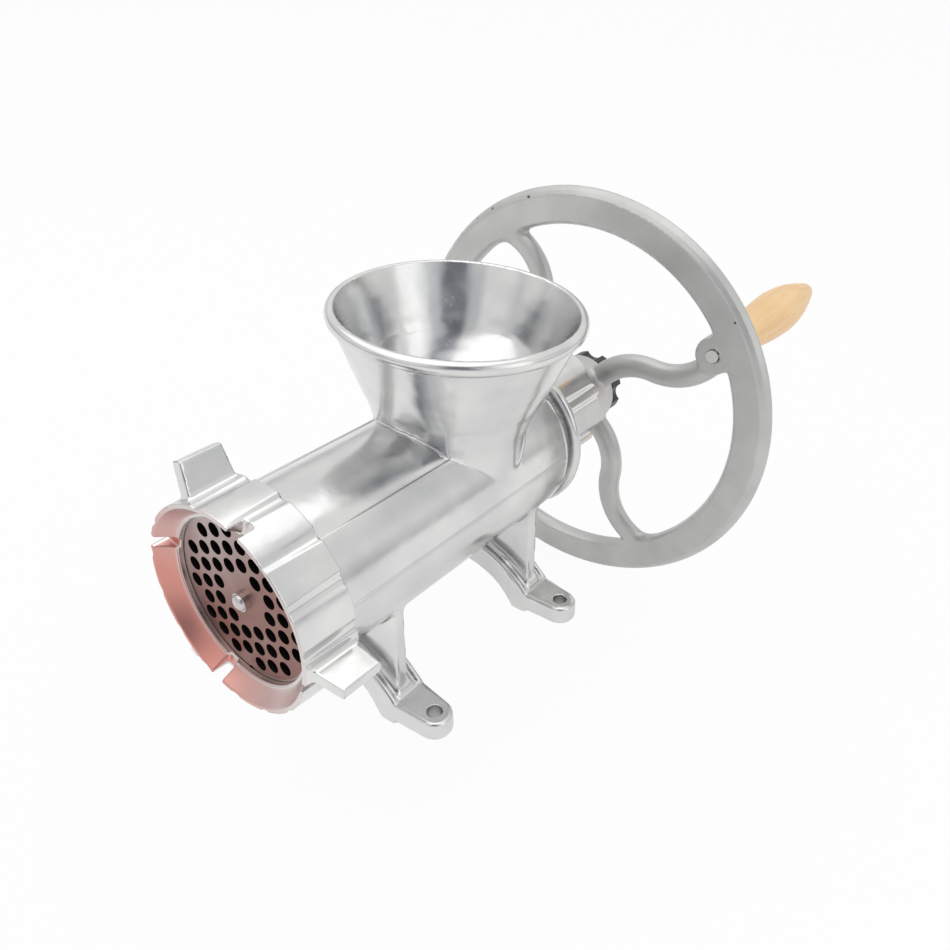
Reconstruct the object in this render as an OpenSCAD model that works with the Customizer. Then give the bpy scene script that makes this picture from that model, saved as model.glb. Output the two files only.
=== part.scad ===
// Hand cranked meat grinder that bolts to a bench: a cast body with a funnel hopper and four feet,
// a feed screw, a cross knife, a hole plate, a screw ring, and a spoked handwheel with a wooden grip.
// Lengths are millimetres. +Z is up and the outlet faces -Y.
// The origin is the centre of the four foot holes, on the underside of the feet.
// Stations along the barrel are measured backwards from the front face of the hole plate.

/* [Feet] */
// Height of the barrel's axis above the bench
axis_h = 94; // [88:0.5:106]
// Distance between the left and right foot holes
foot_spacing_x = 139; // [130:0.5:150]
// Station of the front foot holes
foot_setback = 64.7; // [55:0.1:74]
// Distance from the barrel's rear end forward to the rear foot holes
foot_rear_inset = 27.6; // [22:0.1:34]
// Diameter of a foot hole
foot_hole_d = 8.5; // [6:0.1:11]
// Thickness of a foot
foot_t = 12; // [9:0.5:14]
// Radius of a foot's round tip
foot_tip_r = 10.5; // [9:0.1:13]
// Width of a foot at its heel
foot_heel_w = 27; // [22:0.5:32]
// From a foot hole in to the place where the foot's underside lifts off the bench
foot_heel_inset = 29; // [24:0.5:34]
// From a foot hole in to the place where the arch meets the top of the foot
foot_knee_inset = 21.5; // [18:0.5:26]
// Width of the arch under the barrel
arch_w = 24; // [18:0.5:30]
// Depth of the arch at its crown
arch_t = 15.2; // [10:0.1:18]
// Distance from the barrel down to the crown of the arch
arch_drop = 14.4; // [11:0.1:17]
// Thickness of the web between barrel and arch
web_t = 8; // [5:0.5:12]
// Radius of the fillet where the web meets the foot
web_fillet_r = 8; // [4:0.5:11]
// Angle below the horizontal at which the web leaves the barrel
web_angle = 30; // [22:1:40]

/* [Barrel] */
// Outer radius of the barrel
barrel_r = 48.7; // [46:0.1:54]
// Thickness of the barrel's wall
barrel_wall = 5.8; // [4:0.1:7]
// Station of the barrel's rear end
barrel_l = 214.5; // [206:0.5:230]
// Thickness of the barrel's rear wall
rear_wall = 9.5; // [6:0.5:14]
// Step from the barrel up to the screwed collar
collar_step = 4.3; // [4:0.1:6]
// How far the plate's front stands ahead of the collar
plate_stand = 1; // [0.5:0.1:2]
// Radius that rounds the barrel's rear shoulder
shoulder_r = 7; // [3:0.5:10]
// Depth of the recessed crown along the barrel's top
crown_recess = 0.8; // [0.3:0.1:1.5]
// Angle that the recessed crown spans
crown_span = 73.6; // [50:0.1:90]
// Radius of the bead along each side of the barrel
bead_r = 1; // [0.5:0.1:1.5]
// Height of the side bead above the axis
bead_h = 7; // [0:0.5:12]

/* [Hopper] */
// Distance from the barrel's rear end forward to the middle of the hopper's rim
hopper_inset = 59.9; // [56:0.1:64]
// Height of the rim's bead above the barrel's axis
rim_h = 103; // [95:0.5:125]
// Outer radius of the cone at the rim
rim_r = 69.4; // [64:0.1:80]
// Radius of the rolled bead round the rim
lip_r = 4; // [3:0.1:5.5]
// Outer radius of the cone at its lower end
cone_low_r = 55.25; // [52:0.25:60]
// Height of the cone's lower end above the axis
cone_low_h = 66; // [62:0.5:72]
// Thickness of the hopper's wall
hopper_wall = 4.7; // [3.5:0.1:5.5]
// Outer radius of the neck's round ends
neck_r = 39; // [36:0.5:42]
// Sideways offset of the neck's two round ends
neck_spread = 5.5; // [2:0.5:6]
// How far the neck lies ahead of the rim's centre
neck_shift = 2.6; // [0:0.1:4]
// Height of the neck's upper end above the axis
neck_h = 46; // [44:0.5:54]
// Depth from the cone's inner edge line down to the throat
funnel_drop = 20; // [14:0.5:22]

/* [Rear housing] */
// Radius of the flange behind the barrel
flange_r = 50.5; // [44:0.5:56]
// Thickness of the flange
flange_t = 6.5; // [5:0.5:9]
// Width of the groove between barrel and flange
groove_w = 2.5; // [1.5:0.5:5]
// Length of the housing behind the barrel
housing_l = 62.5; // [50:0.5:70]
// Radius of the housing between its ribs
housing_r = 28.5; // [26:0.5:31]
// Radius over the housing's ribs
housing_rib_r = 32.6; // [32:0.1:36]
// Width of a housing rib
housing_rib_w = 8; // [5:0.5:10]
// Angle of the ribs above and below the horizontal
housing_rib_angle = 37; // [30:1:45]
// Height of the lobe on top of the housing above the axis
lobe_h = 37; // [34:0.5:42]
// Half width of the lobe at its top
lobe_w = 13; // [8:0.5:16]

/* [Hole plate] */
// How far the plate's edge overlaps the end of the bore
plate_ledge = 6.3; // [5.5:0.1:6.8]
// Thickness of the plate
plate_t = 9.5; // [7:0.5:12]
// Diameter of the plate's holes
plate_hole_d = 8; // [4:0.5:8.5]
// Distance from each hole to its neighbours
plate_hole_pitch = 10.9; // [9.5:0.1:11.1]
// Angle that the hole pattern is turned by
plate_hole_turn = 27.5; // [0:0.5:60]
// Radius of the pin that stops the plate turning
plate_pin_r = 2.4; // [1.5:0.1:2.5]
// Length of that pin
plate_pin_l = 15; // [12:0.5:16]

/* [Screw ring] */
// How far the ring reaches ahead of the plate
ring_reach = 12; // [8:0.5:16]
// How far the ring reaches behind the plate's front face
ring_skirt = 20.3; // [18:0.1:26]
// Thickness of the ring outside its thread
ring_wall = 4.4; // [3.6:0.1:6]
// Taper of the ring's outside towards the front
ring_taper = 0.9; // [0:0.1:1.5]
// How far the ring's lip overlaps the plate
ring_lip = 2.9; // [2:0.1:3]
// Length of the lip ahead of the plate
ring_lip_l = 3.5; // [2:0.1:6]
// Thickness of the ring's front rim
ring_rim_t = 2.6; // [2:0.1:3.5]
// Depth of a grip groove
ring_groove_d = 1.8; // [1:0.1:2]
// Number of grip grooves
ring_grooves = 15; // [9:1:18]
// Radius of the cutter that makes a grip groove
ring_groove_r = 5; // [3:0.5:6]
// Radius to the tips of the ring's lugs
lug_reach = 75.3; // [68:0.1:84]
// Thickness of a lug
lug_t = 6.6; // [5:0.1:10]
// Width of a front notch
ring_notch_w = 7; // [4:0.5:9]
// How far a front notch stops short of the plate
ring_notch_end = 2; // [1:0.5:4]

/* [Feed screw and knife] */
// Thickness of the knife
knife_t = 10; // [8:0.5:12]
// Width of a knife arm
knife_arm_w = 9; // [6:0.5:12]
// Radius of the knife's hub
knife_hub_r = 14; // [12:0.5:18]
// Radius of the feed screw's core
core_r = 20; // [16:0.5:24]
// Pitch of the feed screw
auger_pitch = 46; // [40:1:60]
// Thickness of the flight along the axis
flight_t = 10; // [7:0.5:14]
// Radius of the front stud
stud_r = 5; // [4:0.1:6]
// How far the stud stands ahead of the plate
stud_reach = 3; // [1:0.5:5]
// Side of the square that drives the knife
knife_square = 13; // [12:0.5:15]
// Length of the stud's tail in the feed screw
stud_tail_l = 26; // [15:1:40]

/* [Shaft and bush] */
// Radius of the shaft in its bush
shaft_r = 13; // [11:0.1:14]
// Wall of the bronze bush
bush_wall = 4; // [3:0.1:5]
// Thickness of the thrust washer
thrust_t = 2; // [1:0.1:4]
// Outer radius of the thrust washer
thrust_r = 24; // [20:0.5:32]
// Length of the shaft's tail in the feed screw
shaft_tail_l = 32; // [20:1:50]
// Gap between the housing and the wheel's hub
hub_gap = 2; // [1:0.5:5]
// Side of the square that drives the wheel
wheel_square = 17; // [14:0.5:18]
// Radius of the threaded shaft end
shaft_thread_r = 6; // [5:0.1:7]
// How far the threaded end stands out behind the knob
shaft_thread_spare = 7; // [2:0.5:12]

/* [Handwheel] */
// Outer radius of the wheel
wheel_r = 141.7; // [120:0.1:170]
// Width of the rim from its inside to its outside
wheel_rim_w = 24.6; // [18:0.2:30]
// Depth of the rim along the shaft
wheel_rim_t = 12; // [9:0.5:16]
// Radius of the hub
hub_r = 25; // [20:0.5:28]
// Length of the hub
hub_l = 24; // [20:0.5:32]
// From the hub's front face back to the rim's front face
rim_setback = 10.2; // [4:0.1:11]
// Number of spokes
spokes = 4; // [3:1:5]
// Width of a spoke, which is as deep as the rim
spoke_w = 16.4; // [13:0.2:18]
// Angle of the first spoke
spoke_angle = 40; // [0:1:90]
// Radius of the lug that carries the grip
grip_lug_r = 12; // [10:0.5:15]
// From the inside of the rim in to the grip's axis
grip_inset = 4.2; // [2:0.1:30]
// Angle of the grip round the wheel
grip_angle = 33.8; // [20:0.1:50]

/* [Knob and grip] */
// Outer radius of the knob
knob_r = 23.5; // [18:0.5:28]
// Thickness of the knob
knob_t = 13; // [9:0.5:18]
// Number of lobes on the knob
knob_lobes = 8; // [5:1:9]
// Thickness of the washer under the knob
hub_washer_t = 2; // [1:0.1:4]
// Radius of the grip's spindle
spindle_r = 4; // [3:0.1:4.5]
// How far the spindle stands out at the rim's front
spindle_stand = 1; // [0.5:0.1:3]
// Length of the grip
grip_l = 134.5; // [100:0.5:150]
// Largest radius of the grip
grip_r = 15.5; // [13:0.1:20]
// Thickness of the washer behind the lug
grip_washer_t = 2; // [1:0.1:3]
// Radius of the spindle's head
spindle_head_r = 5; // [4.8:0.1:5.2]
// Thickness of the spindle's head
spindle_head_t = 3; // [2:0.1:4]

/* [Clearances] */
// Radial clearance of a shaft that turns in its bore
running_gap = 0.05; // [0.02:0.01:0.1]
// Clearance between pieces that move past each other
free_gap = 0.3; // [0.2:0.05:0.5]
// Radial clearance of the feed screw in the bore
auger_gap = 0.9; // [0.5:0.1:1.5]

/* [Hidden] */

// Overrun of every cut past the surface that it opens
over = axis_h / 94;

// Radii that follow from the barrel
bore_r = barrel_r - barrel_wall;
collar_r = barrel_r + collar_step;
plate_r = bore_r + plate_ledge;
seat_r = plate_r + free_gap;
ring_bore_r = collar_r + free_gap;
ring_r = ring_bore_r + ring_wall;
ring_lip_r = plate_r - ring_lip;
auger_r = bore_r - auger_gap;
bush_r = shaft_r + bush_wall;

// Feet: the rear pair keeps its place at the barrel's rear end
foot_spacing_y = barrel_l - foot_setback - foot_rear_inset;

// Stations along the barrel, from front to back
knife_y = plate_t + free_gap;
auger_y = knife_y + knife_t;
chamber_end = barrel_l - rear_wall;
thrust_y = chamber_end - free_gap - thrust_t;
housing_end = barrel_l + housing_l;
hub_y = housing_end + hub_gap;
rim_y = hub_y + rim_setback;
rim_mid_y = rim_y + wheel_rim_t / 2;
hub_end = hub_y + hub_l;
knob_y = hub_end + hub_washer_t;
shaft_end = knob_y + knob_t + shaft_thread_spare;
lug_end = rim_y + wheel_rim_t;
grip_y = lug_end + grip_washer_t + free_gap;
grip_end = grip_y + grip_l;

// Collar: it starts behind the plate's front and stops inside the ring
collar_end = ring_skirt - plate_stand / 2;
// Pin: its centre lies in the plate's edge, and its back is let into the collar
plate_pin_pos = plate_r - plate_pin_r / 2;

// Heights in the leg's own view, measured from the barrel's axis
foot_top = foot_t - axis_h;
arch_crown = -barrel_r - arch_drop;
arch_under = arch_crown - arch_t;
foot_x = foot_spacing_x / 2;
knee_x = foot_x - foot_knee_inset;
heel_x = foot_x - foot_heel_inset;
arch_rise = arch_crown - foot_top;
arch_r = (knee_x * knee_x + arch_rise * arch_rise) / (2 * arch_rise);
under_rise = arch_under + axis_h;
under_r = (heel_x * heel_x + under_rise * under_rise) / (2 * under_rise);

// Hopper: the neck widens into the cone through a middle section
hopper_y = barrel_l - hopper_inset;
neck_y = hopper_y - neck_shift;
flare_share = 0.36;
flare_h = (neck_h + cone_low_h) / 2;
cone_slope = (rim_r - cone_low_r) / (rim_h - cone_low_h);
throat_r = neck_r - hopper_wall;
funnel_edge_h = cone_low_h + lip_r;
funnel_edge_r = cone_low_r - hopper_wall + cone_slope * (funnel_edge_h - cone_low_h);
funnel_top_r = rim_r - hopper_wall;
throat_h = funnel_edge_h - funnel_drop;

// Wheel: the rim's round outside and inside, and the spokes as two equal arcs
rim_in_r = wheel_r - wheel_rim_w;
grip_throw = rim_in_r - grip_inset;
rim_out_round = wheel_rim_t / 2;
rim_in_round = wheel_rim_t * 0.61;
rim_face_in = rim_in_r + rim_in_round - sqrt(pow(rim_in_round, 2) - pow(rim_out_round, 2));
// Crest and trough of a spoke's centre line, as shares of the rim's inner radius
spoke_crest_shares = [0.307, 0.039];
spoke_trough_shares = [0.803, -0.160];
spoke_crest = rim_in_r * spoke_crest_shares;
spoke_trough = rim_in_r * spoke_trough_shares;
spoke_run = spoke_trough - spoke_crest;
spoke_bend_r = (spoke_run * spoke_run) / (-4 * spoke_run[1]);
spoke_c1 = spoke_crest - [0, spoke_bend_r];
spoke_c2 = spoke_trough + [0, spoke_bend_r];
spoke_half_turn = asin((spoke_run[0] / 2) / spoke_bend_r);
spoke_root_x = hub_r * 0.7;
spoke_tip_x = rim_in_r + wheel_rim_w / 8;

// Outline of the grip: place along it and radius, both as shares of its length and largest radius
grip_shares = [
    [0, 0.62], [0.04, 0.71], [0.3, 0.82], [0.39, 0.9], [0.5, 0.97], [0.6, 1],
    [0.7, 0.95], [0.8, 0.83], [0.9, 0.64], [0.96, 0.5], [1, 0.42]
];

module on_axis() {
    translate([0, -foot_setback - foot_spacing_y / 2, axis_h]) children();
}

// Turns a section drawn as radius and station into a round body on the barrel's axis
module turned() {
    rotate([-90, 0, 0]) rotate_extrude($fn = 96) children();
}

// A round rod on the barrel's axis between two stations
module rod(r, y0, y1) {
    translate([0, y0, 0]) rotate([-90, 0, 0]) cylinder(r = r, h = y1 - y0, $fn = 64);
}

// A flat shape drawn in the front view, from one station to another
module plank(y0, y1) {
    translate([0, y1, 0]) rotate([90, 0, 0]) linear_extrude(y1 - y0) children();
}

// Moves a feature from the right hand side up round the axis by an angle
module around(angle) {
    rotate([0, -angle, 0]) children();
}

// A shape drawn in plan, between two heights
module storey(z0, z1) {
    translate([0, 0, z0]) linear_extrude(z1 - z0) children();
}

// Two round ends side by side, bridged by straight sides
module stadium(r, spread) {
    translate([spread, 0]) circle(r, $fn = 72);
    translate([-spread, 0]) circle(r, $fn = 72);
    translate([-spread, -r]) square([2 * spread, 2 * r]);
}

module thin_stadium(r, spread, h) {
    hull() {
        translate([spread, 0, 0]) cylinder(r = r, h = h, $fn = 48);
        translate([-spread, 0, 0]) cylinder(r = r, h = h, $fn = 48);
    }
}

module barrel_section() {
    difference() {
        union() {
            square([barrel_r, barrel_l - shoulder_r]);
            square([barrel_r - shoulder_r, barrel_l]);
            translate([barrel_r - shoulder_r, barrel_l - shoulder_r]) circle(shoulder_r, $fn = 48);
            square([collar_r, collar_end]);
        }
        translate([-over, -over]) square([collar_r + 2 * over, plate_stand + over]);
        translate([-over, -over]) square([seat_r + over, plate_t + over]);
        translate([-over, -over]) square([bore_r + over, chamber_end + over]);
        translate([-over, -over]) square([bush_r + over, barrel_l + 2 * over]);
    }
}

// Wedge that spans the recessed crown, in the front view
module crown_wedge(r) {
    half = crown_span / 2;
    polygon([[0, 0], r * [sin(half), cos(half)], [0, 2 * r], r * [-sin(half), cos(half)]]);
}

// What the casting's crown lacks between the collar and the rear shoulder
module crown_cut() {
    plank(collar_end, barrel_l - shoulder_r) difference() {
        crown_wedge(2 * barrel_r);
        circle(barrel_r - crown_recess, $fn = 96);
    }
}

module barrel() {
    color("lightgray") on_axis() {
        difference() {
            union() {
                turned() barrel_section();
                for (side = [-1, 1]) {
                    translate([side * sqrt(pow(barrel_r, 2) - pow(bead_h, 2)), 0, bead_h])
                        rod(bead_r, collar_end, barrel_l - shoulder_r);
                }
            }
            crown_cut();
            translate([0, neck_y, 0]) storey(0, barrel_r + over) stadium(throat_r, neck_spread);
            around(-90) translate([plate_pin_pos, 0, 0]) rod(plate_pin_r, 0, plate_pin_l + plate_stand);
        }
    }
}

module hopper_outside() {
    translate([0, neck_y, 0]) storey(0, neck_h) stadium(neck_r, neck_spread);
    hull() {
        translate([0, neck_y, neck_h]) thin_stadium(neck_r, neck_spread, over / 4);
        translate([0, neck_y + neck_shift * flare_share, flare_h])
            thin_stadium(neck_r + (cone_low_r - neck_r) * flare_share, neck_spread * (1 - flare_share), over / 4);
    }
    hull() {
        translate([0, neck_y + neck_shift * flare_share, flare_h])
            thin_stadium(neck_r + (cone_low_r - neck_r) * flare_share, neck_spread * (1 - flare_share), over / 4);
        translate([0, hopper_y, cone_low_h]) cylinder(r = cone_low_r, h = over / 4, $fn = 96);
    }
    translate([0, hopper_y, 0]) rotate_extrude($fn = 120) {
        polygon([[0, cone_low_h], [cone_low_r, cone_low_h], [rim_r, rim_h], [0, rim_h]]);
        translate([rim_r - hopper_wall / 2, rim_h]) circle(lip_r, $fn = 48);
    }
}

module hopper_inside() {
    translate([0, neck_y, 0]) storey(0, throat_h + over / 4) stadium(throat_r, neck_spread);
    hull() {
        translate([0, neck_y, throat_h]) thin_stadium(throat_r, neck_spread, over / 4);
        translate([0, hopper_y, funnel_edge_h]) cylinder(r = funnel_edge_r, h = over / 4, $fn = 96);
    }
    translate([0, hopper_y, 0]) rotate_extrude($fn = 120) {
        polygon([
            [0, funnel_edge_h],
            [funnel_edge_r, funnel_edge_h],
            [funnel_top_r, rim_h],
            [0, rim_h]
        ]);
        translate([0, rim_h - over]) square([funnel_top_r, lip_r + 2 * over]);
    }
}

module hopper() {
    color("silver") on_axis() difference() {
        hopper_outside();
        hopper_inside();
        difference() {
            rod(barrel_r, 0, barrel_l);
            crown_cut();
        }
    }
}

module housing_section() {
    circle(housing_r, $fn = 96);
    for (angle = [housing_rib_angle, 180 - housing_rib_angle, 180 + housing_rib_angle, -housing_rib_angle]) {
        rotate(angle) {
            translate([0, -housing_rib_w / 2]) square([housing_rib_r - housing_rib_w / 4, housing_rib_w]);
            translate([0, -housing_rib_w / 4]) square([housing_rib_r, housing_rib_w / 2]);
            for (side = [-1, 1]) {
                translate([housing_rib_r - housing_rib_w / 4, side * housing_rib_w / 4])
                    circle(housing_rib_w / 4, $fn = 24);
            }
        }
    }
    hull() {
        for (side = [-1, 1]) {
            translate([side * lobe_w * 2 / 3, lobe_h - lobe_w / 3]) circle(lobe_w / 3, $fn = 32);
            translate([side * housing_r * 0.72, housing_r / 2]) circle(lobe_w / 3, $fn = 32);
        }
    }
}

module rear_housing() {
    flange_y = barrel_l + groove_w;
    color("silver") on_axis() difference() {
        union() {
            rod(barrel_r - shoulder_r, barrel_l, flange_y + flange_t / 2);
            turned() {
                translate([0, flange_y]) square([flange_r - flange_t / 2, flange_t]);
                translate([flange_r - flange_t / 2, flange_y + flange_t / 2]) circle(flange_t / 2, $fn = 48);
            }
            plank(flange_y + flange_t / 2, housing_end) housing_section();
        }
        rod(bush_r, barrel_l - over, housing_end + over);
    }
}

// Angle, seen from the tip's centre, at which a side that starts at the heel touches the round tip
function tip_angle(run, half_w, r) = atan2(half_w, -run) - acos(r / norm([run, half_w]));

module foot_plan() {
    tip = tip_angle(foot_heel_inset, foot_heel_w / 2, foot_tip_r);
    touch = [foot_x + foot_tip_r * cos(tip), foot_tip_r * sin(tip)];
    translate([foot_x, 0]) circle(foot_tip_r, $fn = 64);
    polygon([
        [0, -arch_w / 2],
        [heel_x * 2 / 3, -arch_w / 2],
        [heel_x, -foot_heel_w / 2],
        [touch[0], -touch[1]],
        touch,
        [heel_x, foot_heel_w / 2],
        [heel_x * 2 / 3, arch_w / 2],
        [0, arch_w / 2]
    ]);
}

// Front view of the arch and the foot, right half
module strap_view() {
    difference() {
        union() {
            intersection() {
                translate([0, arch_crown - arch_r]) circle(arch_r, $fn = 96);
                translate([0, foot_top - over]) square([knee_x, arch_crown - foot_top + 2 * over]);
            }
            translate([0, -axis_h]) square([foot_x + foot_tip_r + over, foot_t]);
        }
        translate([0, arch_under - under_r]) circle(under_r, $fn = 96);
    }
}

// Front view of the web between barrel and arch, right half
module web_view() {
    fillet_h = foot_top + web_fillet_r;
    edge_x = knee_x - web_fillet_r / 4;
    difference() {
        union() {
            polygon([
                [0, -barrel_r / 2],
                barrel_r * [cos(web_angle), -sin(web_angle)],
                [edge_x, fillet_h],
                [edge_x, foot_top - foot_t / 2],
                [0, foot_top - foot_t / 2]
            ]);
            difference() {
                translate([edge_x - over, foot_top - foot_t / 2])
                    square([web_fillet_r + over, web_fillet_r + foot_t / 2]);
                translate([edge_x + web_fillet_r, fillet_h]) circle(web_fillet_r, $fn = 48);
            }
        }
        translate([0, arch_under - under_r]) circle(under_r, $fn = 96);
    }
}

module leg(side, hole_y) {
    color("silver") on_axis() mirror([side < 0 ? 1 : 0, 0, 0]) translate([0, hole_y, 0]) difference() {
        union() {
            intersection() {
                plank(-foot_heel_w, foot_heel_w) strap_view();
                storey(-axis_h - over, 0) foot_plan();
            }
            plank(-web_t / 2, web_t / 2) web_view();
        }
        rod(barrel_r, -foot_heel_w - over, foot_heel_w + over);
        translate([foot_x, 0, -axis_h - over]) cylinder(d = foot_hole_d, h = foot_t + 2 * over, $fn = 48);
    }
}

module leg_front_left() leg(-1, foot_setback);
module leg_front_right() leg(1, foot_setback);
module leg_rear_left() leg(-1, foot_setback + foot_spacing_y);
module leg_rear_right() leg(1, foot_setback + foot_spacing_y);

// Six sided lattice; the centre and its first ring of holes are left solid
module plate_holes() {
    reach = 4;
    least_share = 3;
    most_share = 13;
    for (i = [-reach : reach], j = [-reach : reach]) {
        ring_share = i * i + i * j + j * j;
        if (ring_share >= least_share && ring_share <= most_share) {
            translate(plate_hole_pitch * [i + j / 2, j * sqrt(3) / 2]) circle(d = plate_hole_d, $fn = 24);
        }
    }
}

module cutting_plate() {
    color("rosybrown") on_axis() plank(0, plate_t) difference() {
        circle(plate_r, $fn = 120);
        circle(stud_r + running_gap, $fn = 48);
        rotate(plate_hole_turn) plate_holes();
        rotate(-90) translate([plate_pin_pos, 0]) circle(plate_pin_r + free_gap, $fn = 32);
        rotate(-90) translate([plate_pin_pos, -plate_pin_r - free_gap])
            square([plate_ledge, 2 * (plate_pin_r + free_gap)]);
    }
}

module plate_pin() {
    color("gray") on_axis() around(-90) translate([plate_pin_pos, 0, 0])
        rod(plate_pin_r, plate_stand, plate_pin_l + plate_stand);
}

// The dish in front of the plate is a slightly hollow cone from the lip out to the rim
module ring_section() {
    rim_r0 = ring_r - ring_taper;
    dish_w = rim_r0 - ring_rim_t - ring_lip_r;
    dish_l = ring_reach - ring_lip_l;
    hollow_share = 0.14;
    steps = 6;
    dish = [for (i = [0 : steps]) [
        ring_lip_r + dish_w * (i / steps + hollow_share * sin(180 * i / steps)),
        -ring_lip_l - dish_l * (i / steps - hollow_share * sin(180 * i / steps))
    ]];
    polygon(concat(
        [[ring_bore_r, ring_skirt], [ring_bore_r, 0], [ring_lip_r, 0]],
        dish,
        [[rim_r0, -ring_reach], [ring_r, ring_skirt]]
    ));
}

module ring_lug() {
    root = ring_bore_r + ring_wall / 3;
    tip_shares = [0.5, 0.87];
    root_shares = [0.79, 0.93];
    translate([0, 0, -lug_t / 2]) linear_extrude(lug_t) polygon([
        [root, -ring_reach * root_shares[0]],
        [lug_reach, -ring_reach * tip_shares[0]],
        [lug_reach, ring_skirt * tip_shares[1]],
        [root, ring_skirt * root_shares[1]]
    ]);
}

module ring_nut() {
    groove_turn = 6.5;
    lug_turn = -5.5;
    notch_turn = 75.5;
    groove_pos = ring_r + ring_groove_r - ring_groove_d;
    color("gainsboro") on_axis() {
        difference() {
            turned() ring_section();
            for (i = [0 : ring_grooves - 1]) {
                around(groove_turn + 360 * i / ring_grooves) translate([groove_pos, 0, 0])
                    rod(ring_groove_r, -ring_reach - over, ring_skirt + over);
            }
            for (i = [0 : 3]) {
                around(notch_turn + 90 * i)
                    translate([ring_lip_r - over, -ring_reach - over, -ring_notch_w / 2])
                    cube([ring_r - ring_lip_r + 2 * over, ring_reach - ring_notch_end + over, ring_notch_w]);
            }
        }
        for (i = [0 : 2]) {
            around(lug_turn + 120 * i) ring_lug();
        }
    }
}

module knife() {
    arm_r = bore_r - 2 * auger_gap;
    color("slategray") on_axis() plank(knife_y, auger_y) difference() {
        union() {
            circle(knife_hub_r, $fn = 64);
            for (i = [0 : 3]) {
                rotate(90 * i + 20) translate([0, -knife_arm_w / 2]) square([arm_r, knife_arm_w]);
            }
        }
        square(knife_square, center = true);
    }
}

// Cross section of the flight: a sector as wide as the flight is thick along one pitch
module flight_section() {
    half = 180 * flight_t / auger_pitch;
    steps = 6;
    rim = [for (i = [-steps : steps]) auger_r * [cos(half * i / steps), sin(half * i / steps)]];
    root = [for (i = [1, 0, -1]) core_r * 0.7 * [cos(half * i), sin(half * i)]];
    polygon(concat(rim, root));
}

module auger() {
    l = thrust_y - auger_y;
    turns = l / auger_pitch;
    color("silver") on_axis() difference() {
        union() {
            translate([0, auger_y, 0]) rotate([-90, 0, 0])
                linear_extrude(l, twist = -360 * turns, slices = ceil(20 * turns), convexity = 10) flight_section();
            rod(core_r, auger_y, thrust_y);
        }
        rod(stud_r, auger_y - over, auger_y + stud_tail_l);
        rod(shaft_r * 0.7, thrust_y - shaft_tail_l, thrust_y + over);
    }
}

module auger_stud() {
    color("whitesmoke") on_axis() {
        rod(stud_r, -stud_reach, auger_y + stud_tail_l);
        plank(knife_y, auger_y) square(knife_square, center = true);
    }
}

module thrust_washer() {
    color("goldenrod") on_axis() difference() {
        rod(thrust_r, thrust_y, thrust_y + thrust_t);
        rod(shaft_r, thrust_y - over, thrust_y + thrust_t + over);
    }
}

module rear_bushing() {
    color("peru") on_axis() difference() {
        rod(bush_r, chamber_end, housing_end);
        rod(shaft_r + running_gap, chamber_end - over, housing_end + over);
    }
}

module drive_shaft() {
    color("gray") on_axis() {
        rod(shaft_r * 0.7, thrust_y - shaft_tail_l, thrust_y + over);
        rod(shaft_r, thrust_y, hub_y);
        plank(hub_y - over, hub_end) square(wheel_square, center = true);
        rod(shaft_thread_r, hub_end - over, shaft_end);
    }
}

module rim_section() {
    intersection() {
        union() {
            translate([rim_face_in, 0]) square([wheel_r - rim_out_round - rim_face_in, wheel_rim_t]);
            translate([wheel_r - rim_out_round, wheel_rim_t / 2]) circle(rim_out_round, $fn = 48);
            translate([rim_in_r + rim_in_round, wheel_rim_t / 2]) circle(rim_in_round, $fn = 48);
        }
        square([wheel_r, wheel_rim_t]);
    }
}

// Section of a spoke: round sides with a narrow flat between them
module spoke_section(width, depth) {
    flat = width - depth;
    translate([-flat / 2, 0]) circle(d = depth, $fn = 32);
    translate([flat / 2, 0]) circle(d = depth, $fn = 32);
    translate([-flat / 2, -depth / 2]) square([flat, depth]);
}

// One arc of a spoke's centre line, swept with the spoke's section
module spoke_arc(centre, from, to, size_share) {
    translate([centre[0], centre[1], 0]) rotate([0, 0, from]) rotate_extrude(angle = to - from, $fn = 96)
        translate([spoke_bend_r, 0]) spoke_section(spoke_w * size_share, wheel_rim_t * size_share);
}

// The spoke's two arcs, drawn flat: a crest near the hub and a slightly thinner trough near the rim
module spoke_flat() {
    root_turn = asin((spoke_crest[0] - spoke_root_x) / spoke_bend_r);
    tip_turn = asin((spoke_tip_x - spoke_trough[0]) / spoke_bend_r);
    lap_turn = 1;
    thin_share = 0.96;
    spoke_arc(spoke_c1, 90 - spoke_half_turn, 90 + root_turn, 1);
    spoke_arc(spoke_c2, 270 - spoke_half_turn - lap_turn, 270 + tip_turn, thin_share);
}

module handwheel() {
    hub_round = hub_r / 16;
    color("darkgray") on_axis() difference() {
        union() {
            turned() translate([0, rim_y]) rim_section();
            turned() {
                translate([0, hub_y]) square([hub_r - hub_round, hub_l]);
                translate([0, hub_y + hub_round]) square([hub_r, hub_l - 2 * hub_round]);
                for (y = [hub_y + hub_round, hub_end - hub_round]) {
                    translate([hub_r - hub_round, y]) circle(hub_round, $fn = 24);
                }
            }
            for (i = [0 : spokes - 1]) {
                around(spoke_angle + 360 * i / spokes) translate([0, rim_mid_y, 0])
                    rotate([90, 0, 0]) spoke_flat();
            }
            around(grip_angle) translate([grip_throw, 0, 0]) rod(grip_lug_r, rim_y, lug_end);
        }
        plank(hub_y - over, hub_end + over) square(wheel_square, center = true);
        around(grip_angle) translate([grip_throw, 0, 0]) rod(spindle_r, rim_y - over, lug_end + over);
    }
}

module hub_washer() {
    color("lightgray") on_axis() difference() {
        rod(wheel_square, hub_end, knob_y);
        rod(shaft_thread_r + free_gap, hub_end - over, knob_y + over);
    }
}

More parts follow.
